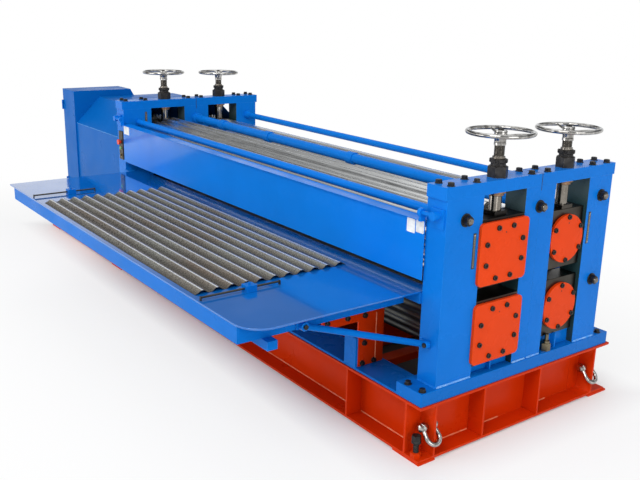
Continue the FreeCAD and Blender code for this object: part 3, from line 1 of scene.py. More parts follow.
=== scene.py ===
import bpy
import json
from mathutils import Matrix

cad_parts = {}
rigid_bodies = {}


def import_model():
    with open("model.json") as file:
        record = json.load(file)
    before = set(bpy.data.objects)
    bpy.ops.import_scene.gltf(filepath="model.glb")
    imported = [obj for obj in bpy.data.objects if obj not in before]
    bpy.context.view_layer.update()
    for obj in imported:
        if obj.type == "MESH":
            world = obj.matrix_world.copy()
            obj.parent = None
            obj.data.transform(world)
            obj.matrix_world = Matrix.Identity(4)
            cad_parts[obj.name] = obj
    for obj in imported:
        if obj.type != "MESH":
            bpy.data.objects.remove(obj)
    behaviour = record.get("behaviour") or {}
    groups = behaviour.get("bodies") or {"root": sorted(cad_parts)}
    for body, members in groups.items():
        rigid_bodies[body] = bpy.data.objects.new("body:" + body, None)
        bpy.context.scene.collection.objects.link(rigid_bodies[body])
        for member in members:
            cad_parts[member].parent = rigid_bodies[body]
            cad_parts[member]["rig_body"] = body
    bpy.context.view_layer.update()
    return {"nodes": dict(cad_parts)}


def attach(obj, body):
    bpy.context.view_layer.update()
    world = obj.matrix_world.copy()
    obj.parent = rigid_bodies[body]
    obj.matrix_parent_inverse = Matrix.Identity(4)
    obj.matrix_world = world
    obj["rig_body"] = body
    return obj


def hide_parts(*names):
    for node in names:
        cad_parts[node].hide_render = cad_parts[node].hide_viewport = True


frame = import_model()

import json
import math

import bmesh
import bpy
import numpy as np
from mathutils import Matrix, Vector

# A barrel corrugating machine. Places are in millimetres in the base's frame: x from the base's far end,
# y from its front edge, z from the floor. MIDDLE is where the model's own origin lies in that frame.

MIDDLE = np.array([2523.0, 300.0, 0.0])
# The top of the base beams' lower flange, and the underside of the upper one
FLANGE_TOP, FLANGE_UNDER = 22.0, 278.0
# The stands: their faces along x, the heights of their bars, columns and caps, and their edges along y
NEAR_OUT, NEAR_IN, FAR_IN, FAR_OUT = 4970.0, 4847.5, 1524.5, 1402.0
BAR_TOP, COLUMN_TOP, CAP_TOP = 356.0, 1234.94, 1293.94
COLUMN_FRONT, COLUMN_REAR, SEAM = 102.0, 1267.0, 717.0
# The rolls' axes, and the set screws above them with the heights of their wheels
FRONT_AXIS, REAR_AXIS = 470.5, 953.5
FRONT_LOW, FRONT_HIGH, REAR_LOW, REAR_HIGH = 568.06, 956.94, 584.26, 940.74
SCREW_NEAR, SCREW_FAR = 4909.0, 1463.0
FRONT_WHEEL, REAR_WHEEL = 1497.94, 1481.94
# The ends of the table
RIM_NEAR, RIM_FAR = 4740.0, 1762.0
# The tie rods: how far back each lies, and the two heights
TIE_FRONT, TIE_MIDDLE, TIE_REAR = 221.0, 716.0, 1187.0
TIE_HIGH, TIE_LOW = 1135.94, 688.94
CORNERS = ("near_front", "near_rear", "far_front", "far_rear")
scene = bpy.context.scene


# Materials

class Look:
    """One procedural material: a shader with helpers that add nodes and join them."""

    def __init__(self, name, **sockets):
        self.material = bpy.data.materials.new(name)
        self.material.use_nodes = True
        self.tree = self.material.node_tree
        self.shader = self.tree.nodes["Principled BSDF"]
        for socket, value in sockets.items():
            self.shader.inputs[socket.replace("_", " ")].default_value = value
        self.place = self.tree.nodes.new("ShaderNodeTexCoord").outputs["Object"]

    def add(self, kind, **inputs):
        """A node; inputs named in_0, in_Scale and so on are set or joined, others are properties."""
        node = self.tree.nodes.new("ShaderNode" + kind)
        for key, value in inputs.items():
            if not key.startswith("in_"):
                setattr(node, key, value)
        for key, value in inputs.items():
            if key.startswith("in_"):
                socket = node.inputs[int(key[3:]) if key[3:].isdigit() else key[3:].replace("_", " ")]
                if isinstance(value, bpy.types.NodeSocket):
                    self.tree.links.new(value, socket)
                else:
                    socket.default_value = value
        return node

    def noise(self, scale, detail=3.0, stretch=None, rough=0.5):
        """Noise of about scale waves per metre, drawn out along the axes by stretch."""
        place = self.place
        if stretch:
            place = self.add("Mapping", in_Vector=place, in_Scale=stretch).outputs[0]
        return self.add("TexNoise", in_Vector=place, in_Scale=scale, in_Detail=detail,
                        in_Roughness=rough).outputs["Fac"]

    def span(self, value, low, high, to_low=0.0, to_high=1.0):
        """A value between low and high carried to the range to_low to to_high."""
        return self.add("MapRange", in_0=value, in_1=low, in_2=high, in_3=to_low, in_4=to_high).outputs[0]

    def maths(self, operation, first, second=0.5):
        return self.add("Math", operation=operation, in_0=first, in_1=second).outputs[0]

    def mix(self, share, first, second):
        return self.add("Mix", data_type="RGBA", in_0=share, in_6=first, in_7=second).outputs[2]

    def edges(self, radius):
        """A mask that is 1 on the object's edges: where a normal rounded by radius leaves the true one."""
        rounded = self.add("Bevel", samples=4, in_Radius=radius).outputs[0]
        true = self.add("NewGeometry").outputs["True Normal"]
        same = self.add("VectorMath", operation="DOT_PRODUCT", in_0=rounded, in_1=true).outputs["Value"]
        return self.span(same, 0.985, 0.86)

    def colour(self, socket):
        self.tree.links.new(socket, self.shader.inputs["Base Color"])

    def rough(self, socket):
        self.tree.links.new(socket, self.shader.inputs["Roughness"])

    def relief(self, *layers):
        """Bumps on top of each other, each a height socket with its depth in millimetres."""
        normal = None
        for height, depth in layers:
            node = self.add("Bump", in_Height=height, in_Distance=depth / 1000, in_Strength=1.0)
            if normal:
                self.tree.links.new(normal, node.inputs["Normal"])
            normal = node.outputs[0]
        self.tree.links.new(normal, self.shader.inputs["Normal"])


DUST = 0.12
# Where the roll windows lie along y and where their walls turn grey, in the model's metres
WINDOWS, CHOCK_TOPS = (0.02, 0.79), (1.09, 1.15)
WINDOW_OIL, WINDOW_GREY = (0.012, 0.03, 0.034, 1), (0.055, 0.085, 0.09, 1)
# Heights of the sheet on the table: the valley that gets painted shade, and the crest that gets a painted
# highlight
SHADED_VALLEY, HIGHLIGHT_CREST = (0.792, 0.804), (0.8072, 0.8079)


def shade(colour, factor):
    return tuple(min(1.0, part * factor) for part in colour[:3]) + (1.0,)


def window_walls(look, tone, cloud):
    """Adds the walls of the roll windows, found by their place and the way they face: dark oil on
    paint, and greyer above the chocks."""
    place = look.add("SeparateXYZ", in_0=look.place).outputs
    facing = look.add("SeparateXYZ", in_0=look.add("NewGeometry").outputs["True Normal"]).outputs[1]
    inside = look.maths("MULTIPLY", look.maths("GREATER_THAN", place[1], WINDOWS[0]),
                        look.maths("LESS_THAN", place[1], WINDOWS[1]))
    wall = look.maths("MULTIPLY", inside, look.maths("GREATER_THAN", look.maths("ABSOLUTE", facing), 0.9))
    oily = look.mix(cloud, WINDOW_OIL, shade(WINDOW_OIL, 2.2))
    return look.mix(wall, tone, look.mix(look.span(place[2], *CHOCK_TOPS), oily, WINDOW_GREY))


def enamel(name, colour, edge_wear_and_highlight, tint, wave=0.0, rough=0.24, coat=0.0, shine=0.16, windows=False):
    """Gloss enamel: brushed-out tone, orange peel, dust in the lows, and edges made lighter by paint rubbed
    thin and by a painted highlight.
    Its mirror image is tinted, so that a pale room doesn't wash the colour out. windows adds the dark
    walls of the roll windows."""
    look = Look(name, Specular_IOR_Level=shine, Specular_Tint=tint, Coat_Weight=coat, Coat_Roughness=0.05)
    cloud = look.span(look.noise(2.3, 4.0), 0.3, 0.7)
    tone = look.mix(cloud, shade(colour, 0.93), shade(colour, 1.05))
    speck = look.span(look.noise(140.0, 2.0), 0.66, 0.82, 0.0, DUST)
    tone = look.mix(speck, tone, shade(colour, 0.6))
    film = look.span(look.noise(7.0, 5.0, rough=0.6), 0.55, 0.9, 0.0, DUST)
    tone = look.mix(film, tone, shade(colour, 1.5))
    # Lighter edges: paint rubbed thin, and a painted highlight on the bevels
    worn_and_highlit = look.maths("MULTIPLY", look.edges(0.0022), look.span(look.noise(24.0, 4.0), 0.35, 0.62))
    tone = look.mix(look.maths("MULTIPLY", worn_and_highlit, 0.7), tone, edge_wear_and_highlight)
    if windows:
        tone = window_walls(look, tone, cloud)
    look.colour(tone)
    look.rough(look.span(look.noise(6.0, 5.0), 0.3, 0.75, rough - 0.05, rough + 0.12))
    layers = [(look.noise(420.0, 2.0), 0.03)]
    if wave:
        layers.append((look.noise(2.6, 1.0), wave))
    look.relief(*layers)
    return look.material


def bare_metal(name, colour, rough, stretch, grain=220.0, tint=None, depth=0.03, stain=0.35, marks=0.2,
               patch=7.0):
    """Worked steel: tool marks drawn out along one axis, cloudy oil stains and small dings."""
    look = Look(name, Metallic=1.0)
    lines = look.noise(grain, 3.0, stretch)
    cloud = look.span(look.noise(patch, 5.0, rough=0.62), 0.38, 0.72)
    tone = look.mix(look.span(lines, 0.3, 0.7), shade(colour, 1 - marks), shade(colour, 1 + marks))
    look.colour(look.mix(look.maths("MULTIPLY", cloud, stain), tone, tint or shade(colour, 0.4)))
    look.rough(look.span(look.maths("ADD", lines, look.maths("MULTIPLY", cloud, 0.5)), 0.4, 1.2,
                         rough - 0.06, rough + 0.14))
    look.relief((lines, depth), (look.noise(60.0, 4.0), 0.02))
    return look.material


def black_oxide(name):
    """Blackened steel: near black with brown rubbed edges, an oily sheen and fine pits."""
    look = Look(name, Metallic=0.7)
    cloud = look.span(look.noise(40.0, 4.0), 0.35, 0.7)
    tone = look.mix(cloud, (0.012, 0.012, 0.013, 1), (0.035, 0.033, 0.032, 1))
    look.colour(look.mix(look.maths("MULTIPLY", look.edges(0.0012), 0.6), tone, (0.19, 0.17, 0.15, 1)))
    look.rough(look.span(look.noise(30.0, 3.0), 0.3, 0.7, 0.34, 0.52))
    look.relief((look.noise(700.0, 2.0), 0.03))
    return look.material


def zinc_coat(name):
    """Galvanised sheet: flat zinc crystals of slightly different tone, roller streaks along x, brown
    stains, a painted highlight on the crests over painted shade in the valleys, and painted shade
    on the flank that faces the rolls."""
    look = Look(name, Metallic=0.45, Specular_IOR_Level=0.7)
    crystals = look.add("TexVoronoi", in_Vector=look.place, in_Scale=240.0, feature="F1").outputs["Color"]
    grey = look.add("SeparateColor", in_0=crystals).outputs[0]
    streaks = look.noise(120.0, 3.0, (0.03, 1.0, 1.0))
    tone = look.mix(look.span(grey, 0.0, 1.0, 0.0, 0.3), (0.24, 0.235, 0.205, 1), (0.34, 0.335, 0.30, 1))
    tone = look.mix(look.span(streaks, 0.5, 0.75, 0.0, 0.45), tone, (0.13, 0.13, 0.125, 1))
    stain = look.span(look.noise(3.2, 5.0, (0.4, 1.0, 1.0)), 0.46, 0.66, 0.0, 0.7)
    tone = look.mix(stain, tone, (0.17, 0.115, 0.08, 1))
    # Painted shade darkens the valleys, which are low in the object's own height
    height = look.add("SeparateXYZ", in_0=look.place).outputs[2]
    tone = look.mix(look.span(height, *SHADED_VALLEY, 0.8, 0.0), tone, (0.045, 0.04, 0.034, 1))
    # The flank that faces the rolls is browner, a painted shade, and the crest is a painted highlight
    facing = look.add("SeparateXYZ", in_0=look.add("NewGeometry").outputs["Normal"]).outputs[1]
    tone = look.mix(look.span(facing, 0.05, 0.35, 0.0, 0.75), tone, (0.16, 0.11, 0.085, 1))
    look.colour(look.mix(look.span(height, *HIGHLIGHT_CREST, 0.0, 0.95), tone, (0.85, 0.86, 0.85, 1)))
    look.rough(look.span(look.maths("ADD", grey, streaks), 0.4, 1.4, 0.2, 0.32))
    look.relief((grey, 0.006), (streaks, 0.012))
    return look.material


def plastic(name, colour, rough, grain=500.0):
    """Moulded plastic with a fine grain and a little handling shine."""
    look = Look(name, Specular_IOR_Level=0.45)
    cloud = look.span(look.noise(30.0, 4.0), 0.35, 0.7)
    look.colour(look.mix(cloud, shade(colour, 0.82), shade(colour, 1.15)))
    look.rough(look.span(look.noise(18.0, 3.0), 0.3, 0.7, rough - 0.06, rough + 0.08))
    look.relief((look.noise(grain, 2.0), 0.03))
    return look.material


BLUE = (0.003, 0.175, 0.66)
RED = (0.6, 0.032, 0.0015)
ORANGE = (0.78, 0.056, 0.005)
BLUE_TINT, RED_TINT, ORANGE_TINT = (0.1, 0.45, 1.0, 1), (1.0, 0.3, 0.12, 1), (1.0, 0.45, 0.2, 1)
# The pale edge blue stands for worn paint and for a painted highlight on the edges
BLUE_EDGE_AND_HIGHLIGHT = (0.05, 0.30, 0.82, 1)
WHITE, PALE = (1, 1, 1, 1), (0.8, 0.9, 1, 1)


def blue(name, factor, tint=BLUE_TINT, **finish):
    """The machine's blue enamel, darker or paler by a factor."""
    return enamel(name, shade(BLUE, factor), BLUE_EDGE_AND_HIGHLIGHT, tint, **finish)


blue_paint = blue("blue_paint", 1.0)
column_paint = blue("column_paint", 1.0, windows=True)
bar_paint = enamel("base_bar_paint", shade(BLUE, 0.84), shade(BLUE, 1.1), BLUE_TINT)
blue_sheet = blue("blue_sheet_paint", 1.1, wave=0.5, rough=0.16, coat=0.03)
# A darker copy of the blue: painted shade on the drive cover and cabinet at the far end
cover_sheet = blue("drive_cover_paint", 0.68, wave=0.3, rough=0.3, shine=0.06)
# A darker copy of the blue: painted shade on the table's rim
rim_paint = blue("table_rim_paint", 0.84, rough=0.3, shine=0.08)
table_sheet = blue("table_paint", 0.74, PALE, rough=0.08, coat=1.0, shine=0.6)
red_paint = enamel("red_paint", RED, (0.8, 0.10, 0.03, 1), RED_TINT, rough=0.3)
cover_paint = enamel("cover_orange_paint", ORANGE, (0.9, 0.2, 0.06, 1), ORANGE_TINT, rough=0.28)
motor_paint = enamel("motor_grey_paint", (0.10, 0.13, 0.16), (0.32, 0.34, 0.36, 1), WHITE, rough=0.4)
# Paler paints for some weld beads and the cover's fold: a painted highlight along them
highlight_blue_bead = enamel("painted_highlight_blue_weld", (0.06, 0.33, 0.78), (0.65, 0.88, 1.0, 1), WHITE, coat=0.3)
highlight_red_bead = enamel("painted_highlight_red_weld", (0.75, 0.16, 0.06), (0.9, 0.5, 0.3, 1), WHITE, coat=0.3)
black_steel = black_oxide("black_oxide_steel")
# The wheels' strong dark brown patches, made with the stain mix, are a painted reflection of dark
# surroundings
chrome = bare_metal("wheel_chrome", (0.50, 0.49, 0.47), 0.12, (1, 1, 1), 60.0, tint=(0.05, 0.04, 0.032, 1),
                    depth=0.01, stain=0.9, patch=26.0)
turned_steel = bare_metal("turned_steel", (0.26, 0.24, 0.21), 0.2, (0.05, 0.05, 1), 900.0,
                          tint=(0.07, 0.048, 0.03, 1), depth=0.008, stain=0.6, patch=14.0)
shackle_steel = bare_metal("shackle_steel", (0.54, 0.53, 0.51), 0.22, (1, 1, 1), 70.0,
                           tint=(0.10, 0.085, 0.07, 1), stain=0.7, patch=30.0)
roll_steel = bare_metal("ground_roll_steel", (0.68, 0.685, 0.68), 0.25, (0.04, 1, 1), 140.0,
                        tint=(0.24, 0.225, 0.2, 1), depth=0.006, stain=0.3, marks=0.05, patch=3.0)
# The lower rolls' steel is darker than the upper rolls': painted shade
shaded_roll_steel = bare_metal("painted_shade_roll_steel", (0.085, 0.085, 0.078), 0.42, (0.04, 1, 1), 140.0,
                             tint=(0.03, 0.028, 0.022, 1), stain=0.5, patch=5.0)
stained_steel = bare_metal("stained_steel", (0.21, 0.18, 0.12), 0.32, (1, 1, 8), 90.0,
                           tint=(0.05, 0.04, 0.025, 1), stain=0.7, patch=24.0)
oiled_steel = bare_metal("oiled_chock_steel", (0.075, 0.068, 0.058), 0.34, (1, 6, 1), 90.0,
                         tint=(0.03, 0.024, 0.018, 1), stain=0.7)
black_chock = bare_metal("black_chock_steel", (0.03, 0.028, 0.026), 0.4, (1, 6, 1), 90.0,
                         tint=(0.012, 0.01, 0.008, 1), stain=0.7)
gear_steel = bare_metal("cut_gear_steel", (0.26, 0.255, 0.24), 0.34, (8, 1, 1), 120.0, stain=0.5)
bronze = bare_metal("nut_bronze", (0.28, 0.18, 0.12), 0.28, (1, 1, 10), 80.0, tint=(0.12, 0.07, 0.04, 1))
galvanised = zinc_coat("galvanised_zinc")
station_case = plastic("station_case", (0.035, 0.026, 0.015), 0.4)
stop_red = plastic("stop_button_red", (0.80, 0.05, 0.015), 0.22)
go_green = plastic("forward_button_green", (0.12, 0.42, 0.16), 0.25)
back_black = plastic("reverse_button_black", (0.018, 0.018, 0.02), 0.25)
brass_yellow = bare_metal("button_ring_brass", (0.55, 0.42, 0.18), 0.25, (1, 1, 1))
label_white = plastic("bare_label_card", (0.80, 0.81, 0.80), 0.38, 900.0)
tick_black = plastic("scale_tick_black", (0.02, 0.02, 0.02), 0.5)
scale_steel = bare_metal("scale_strip_steel", (0.24, 0.21, 0.16), 0.3, (1, 0.2, 1), 300.0, depth=0.01)


# Shapes, each a list of corners and a list of faces

AXES = {"x": np.array([[0, 1, 0], [0, 0, 1], [1, 0, 0]], float),
        "y": np.array([[0, 0, 1], [1, 0, 0], [0, 1, 0]], float),
        "z": np.array([[1, 0, 0], [0, 1, 0], [0, 0, 1]], float)}


def grid(points, close_rows=False):
    """Faces between neighbouring rows of a (rows, columns, 3) array whose columns go round; rows that
    don't close get an end cap each. Rows run along the axis and columns turn about it, so faces point out."""
    rows, columns = points.shape[:2]
    index = np.arange(rows * columns).reshape(rows, columns)
    ring = np.vstack([index, index[:1]]) if close_rows else index
    ring = np.hstack([ring, ring[:, :1]])
    sides = np.stack([ring[:-1, :-1], ring[:-1, 1:], ring[1:, 1:], ring[1:, :-1]], axis=-1)
    faces = sides.reshape(-1, 4).tolist()
    if not close_rows:
        faces += [index[0, ::-1].tolist(), index[-1].tolist()]
    return points.reshape(-1, 3), faces


def turned(axis, centre, profile, count=48, closed=False, radius_of=None):
    """A profile of (height, radius) rows turned about an axis through centre, which gives all three of
    its coordinates: point = centre + height * axis + radius * (cos, sin of the angle). radius_of may
    change a row's radii with the angle: it gets the row's number, the radius and the angles."""
    side, up, along = AXES[axis]
    angle = np.linspace(0, 2 * math.pi, count, endpoint=False)
    round_about = np.cos(angle)[:, None] * side + np.sin(angle)[:, None] * up
    rows = []
    for number, (height, radius) in enumerate(profile):
        radii = np.full(count, float(radius)) if radius_of is None else radius_of(number, radius, angle)
        rows.append(np.asarray(centre, float) + height * along + radii[:, None] * round_about)
    return grid(np.array(rows), closed)


def hexagon_radius(corner, angle):
    """The distance from the centre to a hexagon's side at each angle: the flat's distance over the
    cosine of the angle from the middle of that side."""
    within = np.mod(angle, math.pi / 3) - math.pi / 6
    return corner * math.cos(math.pi / 6) / np.cos(within)


def hex_head(axis, centre, corner, height, sign=1.0, turn=0.0, dome=0.0):
    """A six-sided head with its top corners turned off at 30 degrees: the side's upper edge drops by
    (side's distance - chamfer circle) * tan 30, so each side ends in an arc."""
    side, up, along = AXES[axis]
    angle = np.linspace(0, 2 * math.pi, 36, endpoint=False)
    about = np.cos(angle + turn)[:, None] * side + sign * np.sin(angle + turn)[:, None] * up
    reach = hexagon_radius(corner, angle)
    circle = corner * math.cos(math.pi / 6) * 0.96
    drop = (reach - circle) * math.tan(math.pi / 6)
    rows = [(np.zeros(36), reach), (height - drop, reach), (np.full(36, height), np.full(36, circle)),
            (np.full(36, height + dome), np.full(36, circle * 0.7))]
    points = [np.asarray(centre, float) + (sign * level)[:, None] * along + size[:, None] * about
              for level, size in rows]
    return grid(np.array(points))


def socket_head(axis, centre, radius, height, socket, depth):
    """A round head with a rolled top edge and a six-sided socket: the last two rings follow a hexagon."""
    profile = [(0, radius), (height - 1.2, radius), (height - 0.3, radius - 0.5), (height, radius - 1.4),
               (height, socket), (height - depth, socket)]

    def sides(number, size, angle):
        return hexagon_radius(size, angle) if number > 3 else np.full(len(angle), float(size))

    return turned(axis, centre, profile, 30, radius_of=sides)


def ring(axis, centre, outer, inner, low, high):
    """A ring of square section with both outer edges broken."""
    edge = 0.6
    profile = [(low, outer - edge), (low + edge, outer), (high - edge, outer), (high, outer - edge),
               (high, inner), (low, inner)]
    return turned(axis, centre, profile, 40, closed=True)


def swept(path, sections, closed=False, up=(0, 0, 1)):
    """A section carried along a path. Each section is an array of (side, height) pairs; side lies along
    the path's direction crossed with up, and height across both."""
    path = np.asarray(path, float)
    if closed:
        ahead = np.roll(path, -1, 0) - np.roll(path, 1, 0)
    else:
        ahead = np.gradient(path, axis=0)
    ahead /= np.linalg.norm(ahead, axis=1)[:, None]
    side = np.cross(ahead, np.asarray(up, float))
    side /= np.linalg.norm(side, axis=1)[:, None]
    height = np.cross(side, ahead)
    sections = np.broadcast_to(np.asarray(sections, float), (len(path),) + np.shape(sections)[-2:])
    points = path[:, None] + sections[..., :1] * side[:, None] - sections[..., 1:] * height[:, None]
    return grid(points, closed)


def circle(radius, count=16, flat=1.0):
    """Points of a circle, or of an ellipse with its height times flat."""
    angle = np.linspace(0, 2 * math.pi, count, endpoint=False)
    return np.stack([radius * np.cos(angle), radius * flat * np.sin(angle)], -1)


def block(x, y, z):
    """A box between low and high values along each axis."""
    corners = ((x[0], y[0]), (x[1], y[0]), (x[1], y[1]), (x[0], y[1]))
    return grid(np.array([[[u, v, height] for u, v in corners] for height in z], float))


def plate(axis, outline, span):
    """An outline in the two directions across an axis, carried along it; the outline turns
    counter-clockwise about the axis."""
    side, up, along = AXES[axis]
    flat = np.array([u * side + v * up for u, v in outline])
    return grid(np.array([flat + level * along for level in span]))


def helix_thread(axis, centre, radius, depth, pitch, low, high, count=40):
    """A screw thread: radius = outer - depth * |2 * part of a turn - 1|, where the part of a turn is
    height / pitch - angle / full turn, without its whole number. The ends run out to the root."""
    side, up, along = AXES[axis]
    steps = max(8, int((high - low) / pitch * 6))
    level = np.linspace(low, high, steps)[:, None]
    angle = np.linspace(0, 2 * math.pi, count, endpoint=False)[None]
    part = np.mod(level / pitch - angle / (2 * math.pi), 1)
    ease = np.minimum(1, np.minimum(level - low, high - level) / pitch)
    size = radius - depth + depth * ease * np.clip(1.25 - np.abs(2 * part - 1) * 1.5, 0, 1)
    points = (np.asarray(centre, float) + level[..., None] * along
              + size[..., None] * (np.cos(angle)[..., None] * side + np.sin(angle)[..., None] * up))
    return grid(points)


def weld(start, end, first, second, size=5.0, ripple=0.14):
    """A weld bead in a corner: quarter circles from one plate to the other, whose radius swings by
    ripple with each 5 mm of length, and slower by a third of that."""
    start, end = np.asarray(start, float), np.asarray(end, float)
    length = np.linalg.norm(end - start)
    steps = max(4, int(length / 2.0))
    along = np.linspace(0, length, steps)[:, None]
    first, second = np.asarray(first, float), np.asarray(second, float)
    if np.dot(np.cross(first, second), end - start) < 0:
        first, second = second, first
    angle = np.linspace(0, math.pi / 2, 5)[None]
    wave = 1 + ripple * np.sin(2 * math.pi * along / 5 + 2 * np.cos(angle)) + ripple / 3 * np.sin(along / 17)
    taper = np.clip(np.minimum(along, length - along) / 4, 0.15, 1)
    size = size * wave * taper
    line = start + (end - start) * along / length
    spread = np.cos(angle)[..., None] * first + np.sin(angle)[..., None] * second
    arc = line[:, None] + size[..., None] * spread
    points = np.concatenate([line[:, None], arc], axis=1)
    return grid(points)


# Pieces

# Edges that turn by more than these stay hard, and are bevelled
HARD_EDGE, BEVEL_EDGE = math.radians(35), math.radians(40)


def finish_piece(piece, look, body, stands_for, edge):
    """Material, shading, softened edges, and what the piece rides on and stands for."""
    scene.collection.objects.link(piece)
    piece.data.materials.clear()
    piece.data.materials.append(look)
    piece.data.shade_smooth()
    piece.data.set_sharp_from_angle(angle=HARD_EDGE)
    if edge:
        bevel = piece.modifiers.new("soft_edges", "BEVEL")
        bevel.width = edge / 1000
        bevel.segments = 2
        bevel.limit_method = "ANGLE"
        bevel.angle_limit = BEVEL_EDGE
        bevel.harden_normals = False
    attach(piece, body)
    if stands_for:
        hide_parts(*stands_for)
    return piece


def make(name, shapes, look, body="root", stands_for=()):
    """One piece from several shapes, put from the base's frame in millimetres to the model's metres."""
    points, faces, start = [], [], 0
    for corners, sides in shapes:
        points.append(corners)
        faces += [[start + corner for corner in side] for side in sides]
        start += len(corners)
    mesh = bpy.data.meshes.new(name)
    mesh.from_pydata(((np.concatenate(points) - MIDDLE) / 1000).tolist(), [], faces)
    return finish_piece(bpy.data.objects.new(name, mesh), look, body, stands_for, 0.0)


def dress(name, look, edge):
    """A copy of a CAD node with its loose triangles merged and its edges softened by edge in millimetres."""
    source = frame["nodes"][name]
    mesh = source.data.copy()
    work = bmesh.new()
    work.from_mesh(mesh)
    bmesh.ops.remove_doubles(work, verts=work.verts, dist=2e-6)
    bmesh.ops.dissolve_limit(work, angle_limit=math.radians(0.5), verts=work.verts, edges=work.edges)
    work.to_mesh(mesh)
    work.free()
    piece = bpy.data.objects.new(name + "_dressed", mesh)
    return finish_piece(piece, look, source["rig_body"], (name,), edge)


# The machine's own sheets, bars and castings, with softened edges

for name, look, edge in (
        ("long_beams", red_paint, 2.0), ("cross_beams", red_paint, 1.5), ("beam_ribs", red_paint, 1.0),
        ("foot_plates", red_paint, 1.2), ("centre_supports", red_paint, 1.2),
        ("sill_plates", bar_paint, 1.0), ("base_bars", bar_paint, 2.5), ("columns", column_paint, 2.0),
        ("caps", blue_paint, 2.5), ("tie_rods", blue_paint, 0.8), ("chock_seats", blue_paint, 1.0),
        ("guard_panel", blue_sheet, 0.8), ("guard_brackets", blue_paint, 1.0),
        ("table_top", table_sheet, 1.5), ("table_frame", rim_paint, 1.0),
        ("guide_block_near", bar_paint, 1.5), ("guide_block_far", bar_paint, 1.5),
        ("gear_cover", cover_sheet, 2.0), ("cabinet_shell", cover_sheet, 1.2),
        ("cabinet_door", cover_sheet, 1.5), ("drive_plinth", blue_paint, 1.5),
        ("station_box", station_case, 1.5),
        ("lower_chocks", oiled_steel, 1.5), ("front_upper_chocks", black_chock, 1.5),
        ("rear_upper_chocks", oiled_steel, 1.5), ("geared_motor", motor_paint, 3.0),
        ("square_cover_lower", cover_paint, 1.5), ("square_cover_upper", cover_paint, 1.5),
        ("round_cover_lower", cover_paint, 1.5), ("round_cover_upper", cover_paint, 1.5),
        ("guide_rods", oiled_steel, 0.6), ("drive_pinion", gear_steel, 0.4),
        ("front_lower_roll", shaded_roll_steel, 0.0), ("front_upper_roll", roll_steel, 0.0),
        ("rear_lower_roll", shaded_roll_steel, 0.0), ("rear_upper_roll", roll_steel, 0.0),
        ("corrugated_sheet", galvanised, 0.0),
        ("emergency_stop", stop_red, 0.8), ("forward_button", go_green, 0.6),
        ("reverse_button", back_black, 0.6)):
    dress(name, look, edge)
for corner in CORNERS:
    dress("screw_" + corner, turned_steel, 0.5)


# Bolts of the stands: washers, hexagon heads, tie-rod nuts and studs

def washer(axis, centre, outer, thick):
    """A flat disc with broken edges; its hole is hidden under the head that sits on it."""
    profile = [(0, outer - 0.4), (0.4, outer), (thick - 0.6, outer), (thick, outer - 0.8)]
    return turned(axis, centre, profile, 32)


# The 24 mm bolts: the washer's radius and thickness, the head's corner radius and height
BOLT_WASHER, BOLT_HEAD = (18, 3), (15, 14)
heads = []
for across, back, z, x_turn, y_turn in (
        ((4950, 4874, 1422, 1498), (136, 295, 660, 774, 1118, 1233), CAP_TOP, 0.37, 0.11),
        ((4960, 4863, 1412, 1509), (31, 1314), BAR_TOP, 0.23, 0.07)):
    for x in across:
        for y in back:
            # Each head stops at its own angle
            turn = (x * x_turn + y * y_turn) % 1.05
            heads.append(washer("z", (x, y, z), *BOLT_WASHER))
            heads.append(hex_head("z", (x, y, z + BOLT_WASHER[1]), *BOLT_HEAD, turn=turn, dome=0.4))
make("stand_bolts", heads, black_steel, stands_for=("frame_bolts",))

TIES = ((TIE_FRONT, TIE_HIGH), (TIE_MIDDLE, TIE_HIGH), (TIE_REAR, TIE_HIGH), (TIE_REAR, TIE_LOW))
TIE_WASHER, TIE_NUT, STUD_RADIUS = (31, 5), (24, 24), 14
nuts, studs = [], []
for number, (y, z) in enumerate(TIES):
    nuts.append(washer("x", (NEAR_OUT, y, z), *TIE_WASHER))
    nuts.append(hex_head("x", (NEAR_OUT + TIE_WASHER[1], y, z), *TIE_NUT, turn=0.35 + 0.4 * number, dome=0.2))
    studs.append(turned("x", (NEAR_IN, y, z), [(0, STUD_RADIUS), (145, STUD_RADIUS)], 32))
    studs.append(helix_thread("x", (NEAR_IN, y, z), 14.4, 1.6, 3.0, 136, 158.5, 32))
    studs.append(turned("x", (NEAR_IN, y, z), [(145, 12.7), (158.8, 12.7), (160.5, 11), (160.5, 3.2),
                                               (157.5, 0.4)], 32))
    studs.append(turned("x", (FAR_OUT, y, z), [(0, STUD_RADIUS), (FAR_IN - FAR_OUT, STUD_RADIUS)], 32))
make("tie_end_nuts", nuts, black_steel, stands_for=("tie_nuts",))
make("tie_end_studs", studs, turned_steel, stands_for=("tie_studs",))


# Screws of the covers, with a grease plug in each cover

def cover_screws(name, body, stands_for, places):
    """Socket heads on circles, and a small grease plug between the two upper ones. Each place holds the
    cover's face, the centre, the circle's radius, how many and the first angle in degrees."""
    shapes = []
    for x, y, z, radius, count, first in places:
        for number in range(count):
            angle = math.radians(first + number * 360 / count)
            spot = (x, y + radius * math.cos(angle), z + radius * math.sin(angle))
            shapes.append(socket_head("x", spot, radius=12.6, height=9, socket=6.4, depth=4.5))
        shapes.append(turned("x", (x, y + 4, z + radius * 0.72), [(-0.2, 3.4), (0.5, 3.4), (0.8, 2.6)], 16))
    make(name, shapes, black_steel, body, stands_for=stands_for)


def square_place(z):
    """Eight screws on a square cover whose roll's axis is at height z."""
    return 4988.0, FRONT_AXIS, z, 129, 8, 22.5


def round_place(z):
    """Six screws on a round cover."""
    return 4967.7, REAR_AXIS, z, 110.5, 6, 30


cover_screws("lower_cover_screws", "root", ("lower_cover_bolts",),
             (square_place(FRONT_LOW), round_place(REAR_LOW)))
cover_screws("square_cover_screws", "front_upper", ("square_cover_bolts",), (square_place(FRONT_HIGH),))
cover_screws("round_cover_screws", "rear_upper", ("round_cover_bolts",), (round_place(REAR_HIGH),))


# Levelling bolts: a red nut on the flange, a threaded shank, and a head in two steps

